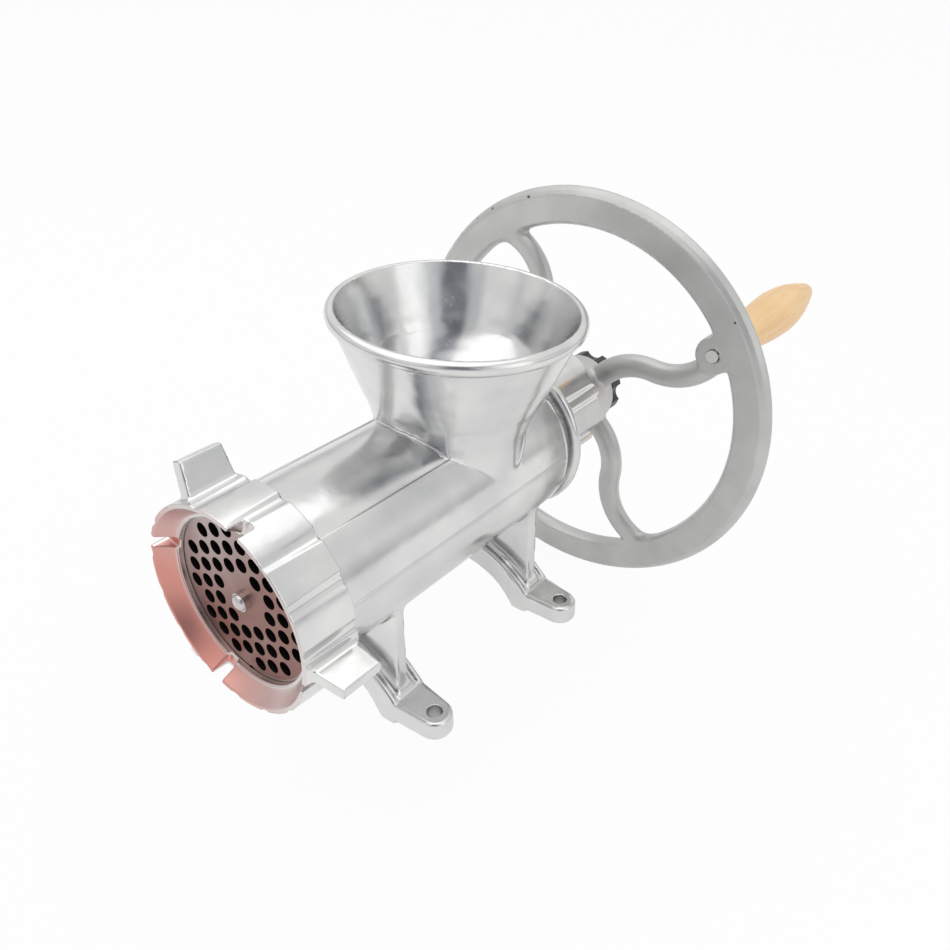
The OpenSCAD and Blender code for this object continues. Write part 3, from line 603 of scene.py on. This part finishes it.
def spaced(low, high, pitch, fine=(), fine_pitch=0.5, reach=2.0):
    """Grid lines from low to high, closer together within reach of the places in fine."""
    lines, at = [low], low
    while at < high:
        near = any(abs(at - place) < reach for place in fine)
        at += fine_pitch if near else pitch
        lines.append(at)
    return np.array(lines)


def sparse_values(field, xs, ss, hs, block=8):
    """Field values on the grid; blocks that the surface doesn't reach get only their centre's value."""
    values = np.empty((len(xs), len(ss), len(hs)), np.float32)
    kept = []
    starts = [range(0, len(a), block) for a in (xs, ss, hs)]
    spans = [[(axis[i], axis[min(i + block, len(axis) - 1)]) for i in at]
             for axis, at in zip((xs, ss, hs), starts)]
    middles = [np.array([(p + q) / 2 for p, q in span]) for span in spans]
    halves = [np.array([(q - p) / 2 for p, q in span]) for span in spans]
    grid = np.meshgrid(*middles, indexing="ij")
    rough = field(*grid)
    reach = np.sqrt(sum(np.square(m) for m in np.meshgrid(*halves, indexing="ij")))
    # With a margin, because the fields aren't exact distances everywhere
    near = np.abs(rough) < reach * 1.5 + 3
    for i, j, k in np.ndindex(rough.shape):
        i0, j0, k0 = i * block, j * block, k * block
        if near[i, j, k]:
            kept.append((i0, j0, k0))
        else:
            values[i0:i0 + block, j0:j0 + block, k0:k0 + block] = rough[i, j, k]
    batch = 400
    for start in range(0, len(kept), batch):
        tiles = kept[start:start + batch]
        parts = []
        for i0, j0, k0 in tiles:
            tile = np.meshgrid(xs[i0:i0 + block], ss[j0:j0 + block], hs[k0:k0 + block], indexing="ij")
            parts.append([axis.ravel() for axis in tile])
        x, s, h = (np.concatenate([p[axis] for p in parts]) for axis in range(3))
        found, at = field(x, s, h), 0
        for (i0, j0, k0), part in zip(tiles, parts):
            shape = values[i0:i0 + block, j0:j0 + block, k0:k0 + block].shape
            values[i0:i0 + block, j0:j0 + block, k0:k0 + block] = found[at:at + part[0].size].reshape(shape)
            at += part[0].size
    return values


def surface_net(values, xs, ss, hs, closed=False):
    """Vertices and quads of the zero surface on a grid, with one vertex in each cell that it crosses.

    Where closed is set, the grid comes round on itself along its last axis: its first two layers are there
    again at the end.
    """
    inside = values < 0
    corners = [inside[a:a - 1 or None, b:b - 1 or None, c:c - 1 or None]
               for a in (0, 1) for b in (0, 1) for c in (0, 1)]
    count = sum(c.astype(np.uint8) for c in corners)
    crossed_cells = (count > 0) & (count < 8)
    if closed:
        crossed_cells[:, :, -1] = False
    cells = np.argwhere(crossed_cells)
    number = np.full(count.shape, -1, np.int64)
    number[tuple(cells.T)] = np.arange(len(cells))
    if closed:
        number[:, :, -1] = number[:, :, 0]

    # Vertex: mean of the places where the surface crosses the cell's edges
    total = np.zeros((len(cells), 3))
    hits = np.zeros(len(cells))
    axes = (xs, ss, hs)
    for axis in range(3):
        others = [a for a in range(3) if a != axis]
        for da in (0, 1):
            for db in (0, 1):
                start = cells.copy()
                start[:, others[0]] += da
                start[:, others[1]] += db
                stop = start.copy()
                stop[:, axis] += 1
                v0 = values[tuple(start.T)].astype(float)
                v1 = values[tuple(stop.T)].astype(float)
                crossed = (v0 < 0) != (v1 < 0)
                t = np.where(crossed, v0 / np.where(crossed, v0 - v1, 1), 0)
                point = np.stack([axes[a][start[:, a]] for a in range(3)], axis=1)
                length = axes[axis][stop[:, axis]] - axes[axis][start[:, axis]]
                point[:, axis] += t * length
                total += point * crossed[:, None]
                hits += crossed
    vertices = total / hits[:, None]

    # Quad: four cells round each grid edge that the surface crosses
    quads = []
    for axis in range(3):
        b, c = (axis + 1) % 3, (axis + 2) % 3
        low = [slice(None)] * 3
        high = [slice(None)] * 3
        low[axis], high[axis] = slice(None, -1), slice(1, None)
        first, second = inside[tuple(low)], inside[tuple(high)]
        edges = np.argwhere(first != second)
        edges = edges[(edges[:, b] > 0) & (edges[:, c] > 0)]
        edges = edges[(edges[:, b] < count.shape[b]) & (edges[:, c] < count.shape[c])]
        if closed and axis == 2:
            edges = edges[edges[:, 2] < count.shape[2] - 1]
        ring = []
        for ob, oc in ((0, 0), (1, 0), (1, 1), (0, 1)):
            cell = edges.copy()
            cell[:, b] -= ob
            cell[:, c] -= oc
            ring.append(number[tuple(cell.T)])
        quad = np.stack(ring, axis=1)
        outward = first[tuple(edges.T)]
        quad[~outward] = quad[~outward][:, ::-1]
        quads.append(quad)
    return vertices, np.concatenate(quads)


def gradient(field, points, reach=0.05):
    """The field's slope at some points, from values at reach millimetres on either side."""
    x, s, h = points.T
    return np.stack([
        field(x + reach, s, h) - field(x - reach, s, h),
        field(x, s + reach, h) - field(x, s - reach, h),
        field(x, s, h + reach) - field(x, s, h - reach)], axis=1) / (2 * reach)


def settle(field, points, rounds=3, most=0.6):
    """Moves points onto the field's zero surface."""
    points = points.copy()
    for _ in range(rounds):
        slope = gradient(field, points)
        size = np.maximum((slope ** 2).sum(axis=1), 0.05)
        move = -field(*points.T)[:, None] * slope / size[:, None]
        length = np.linalg.norm(move, axis=1, keepdims=True)
        points += move * np.minimum(1, most / np.maximum(length, 1e-9))
    return points


def to_frame(points):
    """Points in the grinder's coordinates, in millimetres, as points in the frame, in metres."""
    return np.stack([points[:, 0] * MM, points[:, 1] * MM + PLATE_Y, points[:, 2] * MM + AXIS_Z], axis=1)


def mesh_object(name, vertices, quads, normals):
    """A mesh object from points in the grinder's coordinates, in millimetres."""
    mesh = bpy.data.meshes.new(name)
    mesh.vertices.add(len(vertices))
    mesh.vertices.foreach_set("co", to_frame(vertices).astype(np.float32).ravel())
    mesh.loops.add(quads.size)
    mesh.loops.foreach_set("vertex_index", quads.astype(np.int32).ravel())
    mesh.polygons.add(len(quads))
    mesh.polygons.foreach_set("loop_start", np.arange(0, quads.size, 4, dtype=np.int32))
    mesh.polygons.foreach_set("use_smooth", np.ones(len(quads), bool))
    mesh.update(calc_edges=True)
    mesh.validate()
    mesh.normals_split_custom_set_from_vertices(normals.astype(np.float32))
    piece = bpy.data.objects.new(name, mesh)
    bpy.context.scene.collection.objects.link(piece)
    return piece


def settled_object(name, field, vertices, quads):
    """A mesh whose vertices and normals are taken from the field itself."""
    vertices = settle(field, vertices)
    normals = gradient(field, vertices, 0.15)
    normals /= np.maximum(np.linalg.norm(normals, axis=1, keepdims=True), 1e-9)
    return mesh_object(name, vertices, quads, normals)


def skin(name, field, xs, ss, hs):
    """A mesh of a field's surface."""
    values = sparse_values(field, xs, ss, hs)
    vertices, quads = surface_net(values, xs, ss, hs)
    return settled_object(name, field, vertices, quads)


def round_skin(name, field, radii, ss, turns):
    """A mesh of a field's surface from a grid of rings round the axis, so that round edges are clean."""
    angles = np.linspace(0, 2 * math.pi, turns, endpoint=False)
    rho, s, angle = np.meshgrid(radii, ss, angles, indexing="ij")
    values = field(rho * np.cos(angle), s, rho * np.sin(angle))
    values = np.concatenate([values, values[:, :, :2]], axis=2)
    angles = np.append(angles, angles[:2] + 2 * math.pi)
    points, quads = surface_net(values, radii, ss, angles, closed=True)
    rho, s, angle = points.T
    vertices = np.stack([rho * np.cos(angle), s, rho * np.sin(angle)], axis=1)
    return settled_object(name, field, vertices, quads)


def place_camera():
    """The photograph's viewpoint."""
    data = bpy.data.cameras.new("camera")
    data.lens = CAMERA_LENS
    data.sensor_width = CAMERA_SENSOR
    camera = bpy.data.objects.new("camera", data)
    turn = (Matrix.Rotation(math.radians(CAMERA_HEADING), 4, "Z")
            @ Matrix.Rotation(math.radians(90 + CAMERA_PITCH), 4, "X")
            @ Matrix.Rotation(math.radians(CAMERA_ROLL), 4, "Z"))
    camera.matrix_world = Matrix.Translation(CAMERA_PLACE) @ turn
    bpy.context.scene.collection.objects.link(camera)
    bpy.context.scene.camera = camera


def skin_casting():
    """The body's seven nodes as one casting."""
    xs = spaced(*CASTING_X, CASTING_STEP, CASTING_FINE_X, CASTING_FINE_STEP, CASTING_FINE_REACH)
    hs = spaced(*CASTING_H, CASTING_STEP, CASTING_FINE_H, CASTING_FINE_STEP, CASTING_FINE_REACH)
    casting = skin("casting", casting_field, xs, spaced(*CASTING_S, CASTING_STEP_ALONG), hs)
    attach(casting, "body")
    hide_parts("barrel", "hopper", "rear_housing", "leg_front_left", "leg_front_right",
                "leg_rear_left", "leg_rear_right")
    paint(casting, cast_aluminium())


def skin_ring():
    edges = (RING_LIP_R, RING_LEDGE_R, RING_BORE_R, RING_RIM_R, RING_R - RING_TAPER)
    radii = spaced(*RING_GRID_R, 1.1, fine=edges, fine_pitch=0.4, reach=0.8)
    ss = spaced(*RING_GRID_S, 1.2, fine=(RING_FRONT, RING_LIP_S, RING_BACK), fine_pitch=0.45, reach=1.0)
    ring = round_skin("screw_ring", ring_field, radii, ss, RING_TURNS)
    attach(ring, "ring")
    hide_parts("ring_nut")
    paint(ring, ring_aluminium())


def skin_wheel():
    xs = spaced(*WHEEL_X, WHEEL_STEP)
    wheel = skin("wheel", wheel_field, xs, spaced(*WHEEL_S, WHEEL_STEP_ALONG), xs)
    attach(wheel, "crank")
    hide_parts("handwheel")
    paint(wheel, wheel_paint())


def skin_stud_cap():
    """The stud's domed end."""
    ball = (STUD_R ** 2 + STUD_DOME ** 2) / (2 * STUD_DOME)

    def cap_field(x, s, h):
        rho = np.hypot(x, h)
        dome = np.hypot(rho, s - STUD_FRONT + STUD_DOME - ball) - ball
        return common(common(dome, rho - STUD_R, STUD_EDGE), s - STUD_FRONT - 0.5, 0.05)

    xs = spaced(-STUD_R - 1, STUD_R + 1, 0.3)
    cap = skin("stud_cap", cap_field, xs, spaced(STUD_FRONT - 4, STUD_FRONT + 1.5, 0.2), xs)
    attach(cap, "crank")
    paint(cap, machined("stud_steel"))


def paint(piece, material):
    piece.data.materials.clear()
    piece.data.materials.append(material)


def soften(piece, width, segments):
    """Rounds the sharp edges of a piece by width millimetres."""
    bevel = piece.modifiers.new("soft_edges", "BEVEL")
    bevel.width = width * MM
    bevel.segments = segments
    bevel.limit_method = "ANGLE"
    bevel.angle_limit = math.radians(35)
    bevel.miter_outer = "MITER_ARC"


def new_material(name):
    """A material, its node tree and its shader."""
    material = bpy.data.materials.new(name)
    material.use_nodes = True
    return material, material.node_tree, material.node_tree.nodes["Principled BSDF"]


def feed(tree, value, socket):
    """Links a socket to another node's output, or sets it to a plain value."""
    if isinstance(value, bpy.types.NodeSocket):
        tree.links.new(value, socket)
    else:
        socket.default_value = value


def node(tree, kind, inputs, **settings):
    made = tree.nodes.new(kind)
    for key, value in settings.items():
        setattr(made, key, value)
    for key, value in inputs.items():
        feed(tree, value, made.inputs[key])
    return made


def place_of(tree):
    return tree.nodes.new("ShaderNodeTexCoord").outputs["Object"]


def noise(tree, place, scale, detail=2.0, roughness=0.5):
    inputs = {"Vector": place, "Scale": scale, "Detail": detail, "Roughness": roughness}
    return node(tree, "ShaderNodeTexNoise", inputs).outputs["Fac"]


def spread(tree, value, low, high, to_low=0.0, to_high=1.0):
    """Maps the range low..high of a value to another range."""
    inputs = {"Value": value, "From Min": low, "From Max": high, "To Min": to_low, "To Max": to_high}
    return node(tree, "ShaderNodeMapRange", inputs).outputs["Result"]


def maths(tree, operation, first, second=0.0):
    return node(tree, "ShaderNodeMath", {0: first, 1: second}, operation=operation).outputs[0]


def vector(tree, operation, first, second=(0.0, 0.0, 0.0)):
    made = node(tree, "ShaderNodeVectorMath", {0: first, 1: second}, operation=operation)
    return made.outputs["Value" if operation in ("LENGTH", "DOT_PRODUCT", "DISTANCE") else "Vector"]


def blend(tree, share, first, second):
    """A colour between two, or a choice between them."""
    made = tree.nodes.new("ShaderNodeMix")
    made.data_type = "RGBA"
    for index, value in ((0, share), (6, first), (7, second)):
        feed(tree, value, made.inputs[index])
    return made.outputs[2]


def bumps(tree, layers):
    """Bump layers, each a height and its depth in millimetres, one on top of the other."""
    normal = None
    for height, depth in layers:
        inputs = {"Height": height, "Distance": depth * MM, "Strength": 1.0}
        if normal is not None:
            inputs["Normal"] = normal
        normal = node(tree, "ShaderNodeBump", inputs).outputs["Normal"]
    return normal


def pits(tree, place, scale, size, share):
    """A height that is 1 on the plain surface and falls to 0 in scattered pits."""
    cells = node(tree, "ShaderNodeTexVoronoi", {"Vector": place, "Scale": scale}).outputs["Distance"]
    pit = spread(tree, cells, size * 0.4, size)
    bare = spread(tree, noise(tree, place, scale / 6), share, share + 0.03, 1.0, 0.0)
    return maths(tree, "MAXIMUM", pit, bare)


def axis_place(tree, place):
    """The place measured from the barrel's axis, in metres."""
    return vector(tree, "SUBTRACT", place, (0.0, 0.0, AXIS_Z))


def off_axis(tree, place):
    """Distance from the barrel's axis, in metres."""
    return vector(tree, "LENGTH", vector(tree, "MULTIPLY", axis_place(tree, place), (1.0, 0.0, 1.0)))


def polished_cast(name, painted_light):
    """Polished cast aluminium: bright, softly uneven, with small casting pits.

    The function painted_light gives how strongly a painted shade or reflection covers the metal, its tone,
    and how dull the place is.
    """
    material, tree, shader = new_material(name)
    place = place_of(tree)
    cloud = spread(tree, noise(tree, place, 24, 3), 0.35, 0.68)
    colour = blend(tree, cloud, CAST_LIGHT, CAST_GREY)
    rough = spread(tree, noise(tree, place, 70, 4), 0.3, 0.7, 0.14, 0.25)
    # Painted shade or painted reflection over the metal
    share, tone, dull = painted_light(tree, place)
    colour = blend(tree, share, colour, tone)
    rough = maths(tree, "MAXIMUM", rough, maths(tree, "MULTIPLY", dull, 0.42))
    feed(tree, colour, shader.inputs["Base Color"])
    shader.inputs["Metallic"].default_value = 1.0
    feed(tree, rough, shader.inputs["Roughness"])
    layers = [(noise(tree, place, 34, 2), 0.35), (noise(tree, place, 130, 2), 0.05),
              (noise(tree, place, 900, 2), 0.007), (pits(tree, place, 300, 0.16, 0.56), 0.045)]
    feed(tree, bumps(tree, layers), shader.inputs["Normal"])
    return material


def cast_aluminium():
    def foot_hole_shade(tree, place):
        """The bolt holes are dull, and painted shade darkens them inside."""
        apart = vector(tree, "ABSOLUTE", place)
        share = 0.0
        for foot_s in FOOT_S:
            hole = (FOOT_X * MM, abs(PLATE_Y + foot_s * MM), 0.0)
            flat = vector(tree, "MULTIPLY", apart, (1.0, 1.0, 0.0))
            near = spread(tree, vector(tree, "DISTANCE", flat, hole), (FOOT_HOLE_R + 0.05) * MM,
                          (FOOT_HOLE_R + 0.2) * MM, 1.0, 0.0)
            share = maths(tree, "MAXIMUM", share, near)
        return share, FOOT_HOLE_SHADE, share
    return polished_cast("cast_aluminium", foot_hole_shade)


def ring_aluminium():
    def dish(tree, place):
        """The dish ahead of the plate is duller, and carries a painted salmon reflection, strongest at the
        left and below.
        """
        from_axis = off_axis(tree, place)
        in_dish = spread(tree, from_axis, RING_RIM_R * MM, (RING_RIM_R + 0.4) * MM, 1.0, 0.0)
        front = PLATE_Y + RING_FRONT * MM
        ahead = vector(tree, "DOT_PRODUCT", place, (0.0, 1.0, 0.0))
        on_rim = spread(tree, ahead, front + 0.4 * MM, front + 0.8 * MM, 1.0, 0.0)
        in_dish = maths(tree, "MAXIMUM", in_dish, on_rim)
        before_plate = spread(tree, ahead, PLATE_Y - 0.5 * MM, PLATE_Y, 1.0, 0.0)
        in_dish = maths(tree, "MULTIPLY", in_dish, before_plate)
        off_ledge = spread(tree, from_axis, RING_LEDGE_R * MM, (RING_LEDGE_R + 0.8) * MM, 0.3, 1.0)
        # The painted reflection is strongest at the left and below
        lean = vector(tree, "DOT_PRODUCT", axis_place(tree, place), (-14.0, 0.0, -11.0))
        strong = spread(tree, lean, -0.2, 0.8, 0.15, 1.0)
        share = maths(tree, "MULTIPLY", maths(tree, "MULTIPLY", in_dish, off_ledge), strong)
        return share, DISH_REFLECTION_TONE, maths(tree, "MULTIPLY", in_dish, 0.85)
    return polished_cast("ring_aluminium", dish)


def plate_steel():
    """Ground steel with a painted warm reflection, paler towards the upper left, and painted shade in its
    holes.
    """
    material, tree, shader = new_material("plate_steel")
    place = place_of(tree)
    # Painted reflection: warm, paler towards the upper left
    lean = vector(tree, "DOT_PRODUCT", axis_place(tree, place), (-0.7, 0.0, 0.7))
    rise = spread(tree, lean, 0.0, 0.036)
    face = blend(tree, rise, PLATE_WARM_REFLECTION, PLATE_PALE_REFLECTION)
    cloud = spread(tree, noise(tree, place, 60, 3), 0.4, 0.7, 0.0, 0.2)
    face = blend(tree, cloud, face, PLATE_CLOUD)
    # Painted highlight: the outer edge is paler
    rim = spread(tree, off_axis(tree, place), PLATE_HIGHLIGHT_R[0] * MM, PLATE_HIGHLIGHT_R[1] * MM, 0.0, 0.6)
    face = blend(tree, rim, face, PLATE_EDGE_HIGHLIGHT)
    # Painted shade: the holes' walls, which face sideways, are dark
    normal = tree.nodes.new("ShaderNodeTexCoord").outputs["Normal"]
    facing = maths(tree, "ABSOLUTE", vector(tree, "DOT_PRODUCT", normal, (0.0, 1.0, 0.0)))
    on_face = spread(tree, facing, 0.2, 0.6)
    feed(tree, blend(tree, on_face, PLATE_HOLE_SHADE, face), shader.inputs["Base Color"])
    shader.inputs["Metallic"].default_value = 0.85
    feed(tree, spread(tree, noise(tree, place, 150, 3), 0.3, 0.7, 0.26, 0.4), shader.inputs["Roughness"])
    feed(tree, bumps(tree, [(noise(tree, place, 400, 3), 0.01)]), shader.inputs["Normal"])
    return material


def wheel_paint():
    """Satin silver-grey paint, chipped in a few places on the rim's front edge."""
    material, tree, shader = new_material("wheel_paint")
    place = place_of(tree)
    colour = blend(tree, spread(tree, noise(tree, place, 30, 3), 0.35, 0.7), PAINT_LIGHT, PAINT_GREY)
    ragged = noise(tree, place, 600, 3)
    whole = 1.0
    for angle, radius, size in CHIPS:
        turn = math.radians(angle)
        back = RIM_FRONT + float(np.interp(radius, BEVEL_RADII, BEVEL_DEPTHS))
        spot = (radius * MM * math.cos(turn), PLATE_Y + back * MM, AXIS_Z + radius * MM * math.sin(turn))
        away = vector(tree, "DISTANCE", place, spot)
        away = maths(tree, "ADD", away, maths(tree, "MULTIPLY", ragged, 3 * MM))
        whole = maths(tree, "MULTIPLY", whole, spread(tree, away, (size + 1.4) * MM, (size + 1.5) * MM))
    feed(tree, blend(tree, whole, PAINT_CHIPPED, colour), shader.inputs["Base Color"])
    shader.inputs["Metallic"].default_value = 0.6
    feed(tree, spread(tree, noise(tree, place, 90, 3), 0.3, 0.7, 0.28, 0.38), shader.inputs["Roughness"])
    layers = [(noise(tree, place, 320, 2), 0.03), (noise(tree, place, 45, 2), 0.15), (whole, 0.12)]
    feed(tree, bumps(tree, layers), shader.inputs["Normal"])
    return material


def grip_wood():
    """Pale turned wood, its grain along the grip."""
    material, tree, shader = new_material("grip_wood")
    place = place_of(tree)
    along = vector(tree, "MULTIPLY", place, (1.0, 0.07, 1.0))
    grain = spread(tree, noise(tree, along, 260, 5, 0.6), 0.38, 0.68)
    colour = blend(tree, grain, WOOD_LIGHT, WOOD_DARK)
    pale = spread(tree, noise(tree, along, 70, 2), 0.45, 0.7, 0.0, 0.4)
    colour = blend(tree, pale, colour, WOOD_PALE)
    feed(tree, colour, shader.inputs["Base Color"])
    shader.inputs["Roughness"].default_value = 0.38
    feed(tree, bumps(tree, [(grain, 0.02)]), shader.inputs["Normal"])
    return material


def machined(name):
    """Turned or ground metal."""
    colour, roughness, grain = METALS[name]
    material, tree, shader = new_material(name)
    place = place_of(tree)
    shader.inputs["Base Color"].default_value = (*colour, 1)
    shader.inputs["Metallic"].default_value = 1.0
    feed(tree, spread(tree, noise(tree, place, 120, 3), 0.3, 0.7, roughness * 0.8, roughness * 1.2),
         shader.inputs["Roughness"])
    feed(tree, bumps(tree, [(noise(tree, place, 700, 2), grain)]), shader.inputs["Normal"])
    return material


def knob_black():
    """Dark moulded plastic."""
    material, tree, shader = new_material("knob_black")
    place = place_of(tree)
    shader.inputs["Base Color"].default_value = KNOB_TONE
    feed(tree, spread(tree, noise(tree, place, 200, 3), 0.3, 0.7, 0.3, 0.45), shader.inputs["Roughness"])
    feed(tree, bumps(tree, [(noise(tree, place, 500, 2), 0.02)]), shader.inputs["Normal"])
    return material


def dress_nodes():
    """Materials and soft edges for the CAD nodes that show as they are: material, width of the edge."""
    bright, zinc, bronze = machined("bright_steel"), machined("zinc_steel"), machined("bronze")
    looks = {
        "cutting_plate": (plate_steel(), 0.35), "plate_pin": (bright, 0.4),
        "knife": (machined("knife_steel"), 0.4), "auger": (machined("screw_aluminium"), 0.8),
        "auger_stud": (bright, 1.2), "thrust_washer": (bronze, 0.2), "rear_bushing": (bronze, 0.4),
        "drive_shaft": (bright, 0.6), "hub_washer": (zinc, 0.3), "knob_nut": (knob_black(), 1.2),
        "handle_spindle": (bright, 0.5), "grip_washer": (zinc, 0.3), "grip": (grip_wood(), 0.8)}
    for name, (material, width) in looks.items():
        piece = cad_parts[name]
        paint(piece, material)
        soften(piece, width, 3 if width > 0.5 else 2)


def build_floor():
    """A wide pale floor below the wheel, white to the camera but with the grinder's soft shadow."""
    corners = [(x * FLOOR_HALF, y * FLOOR_HALF, FLOOR_Z) for x, y in ((-1, -1), (1, -1), (1, 1), (-1, 1))]
    mesh = bpy.data.meshes.new("floor")
    mesh.from_pydata(corners, [], [(0, 1, 2, 3)])
    floor = bpy.data.objects.new("floor", mesh)
    bpy.context.scene.collection.objects.link(floor)
    material, tree, shader = new_material("floor")
    shader.inputs["Base Color"].default_value = FLOOR_TONE
    shader.inputs["Roughness"].default_value = 0.9
    shader.inputs["Specular IOR Level"].default_value = 0.1
    rays = tree.nodes.new("ShaderNodeLightPath")
    # In the metal, the floor right under the grinder is duller
    away = vector(tree, "DISTANCE", place_of(tree), UNDER_GRINDER)
    mirrored = spread(tree, away, 0.12, 0.34, 0.45, 1.0)
    mirrored = maths(tree, "MULTIPLY", rays.outputs["Is Glossy Ray"], mirrored)
    seen = maths(tree, "MAXIMUM", rays.outputs["Is Camera Ray"], mirrored)
    glow = node(tree, "ShaderNodeEmission", {"Color": WHITE, "Strength": 1.0})
    share = maths(tree, "MULTIPLY", seen, FLOOR_GLOW)
    mixed = node(tree, "ShaderNodeMixShader", {0: share, 1: shader.outputs[0], 2: glow.outputs[0]})
    feed(tree, mixed.outputs[0], tree.nodes["Material Output"].inputs["Surface"])
    paint(floor, material)


def build_world():
    """White to the camera; the metal mirrors white overhead, a duller horizon and a dark patch aside."""
    world = bpy.data.worlds.new("world")
    bpy.context.scene.world = world
    world.use_nodes = True
    tree = world.node_tree
    direction = tree.nodes.new("ShaderNodeTexCoord").outputs["Generated"]
    rise = vector(tree, "DOT_PRODUCT", direction, (0.0, 0.0, 1.0))
    sky = blend(tree, spread(tree, rise, 0.0, 0.30), SKY_LOW, SKY_HIGH)
    # Upright bands, as from the gaps between pale screens
    round_about = vector(tree, "NORMALIZE", vector(tree, "MULTIPLY", direction, (1.0, 1.0, 0.0)))
    bands = spread(tree, noise(tree, round_about, 2.6, 3), 0.44, 0.56, 0.0, 0.55)
    bands = maths(tree, "MULTIPLY", bands, spread(tree, rise, 0.65, 0.9, 1.0, 0.0))
    in_front = vector(tree, "DOT_PRODUCT", round_about, BANDS_WAY)
    bands = maths(tree, "MULTIPLY", bands, spread(tree, in_front, -0.35, -0.05))
    sky = blend(tree, bands, sky, SKY_BAND)
    # A soft grey place low down behind, on the right
    behind = vector(tree, "DOT_PRODUCT", direction, BEHIND_WAY)
    sky = blend(tree, spread(tree, behind, 0.95, 0.995, 0.0, 0.4), sky, SKY_BEHIND)
    middle = math.radians(PATCH_MIDDLE)
    aside = vector(tree, "DOT_PRODUCT", round_about, (math.cos(middle), math.sin(middle), 0.0))
    soft, full = math.cos(math.radians(PATCH_SOFT_HALF)), math.cos(math.radians(PATCH_FULL_HALF))
    patch = spread(tree, aside, soft, full)
    patch = maths(tree, "MULTIPLY", patch, spread(tree, rise, 0.22, 0.28))
    patch = maths(tree, "MULTIPLY", patch, spread(tree, rise, 0.86, 0.92, 1.0, 0.0))
    sky = blend(tree, patch, sky, SKY_PATCH)
    rays = tree.nodes.new("ShaderNodeLightPath")
    sky = blend(tree, rays.outputs["Is Camera Ray"], sky, WHITE)
    seen = maths(tree, "MAXIMUM", rays.outputs["Is Camera Ray"], rays.outputs["Is Glossy Ray"])
    seen = maths(tree, "MAXIMUM", seen, rays.outputs["Is Transmission Ray"])
    colour = blend(tree, seen, AMBIENT, sky)
    feed(tree, colour, tree.nodes["Background"].inputs["Color"])
    tree.nodes["Background"].inputs["Strength"].default_value = 1.0


def add_lamp(name, place, size, power):
    data = bpy.data.lights.new(name, "AREA")
    data.size = size
    data.energy = power
    piece = bpy.data.objects.new(name, data)
    piece.location = place
    piece.rotation_euler = (Vector(LAMP_AIM) - Vector(place)).to_track_quat("-Z", "Y").to_euler()
    bpy.context.scene.collection.objects.link(piece)


place_camera()
skin_casting()
skin_ring()
skin_wheel()
dress_nodes()
skin_stud_cap()
build_floor()
build_world()
for name, (place, size, power) in LAMPS.items():
    add_lamp(name, place, size, power)
bpy.context.scene.view_settings.view_transform = "Standard"
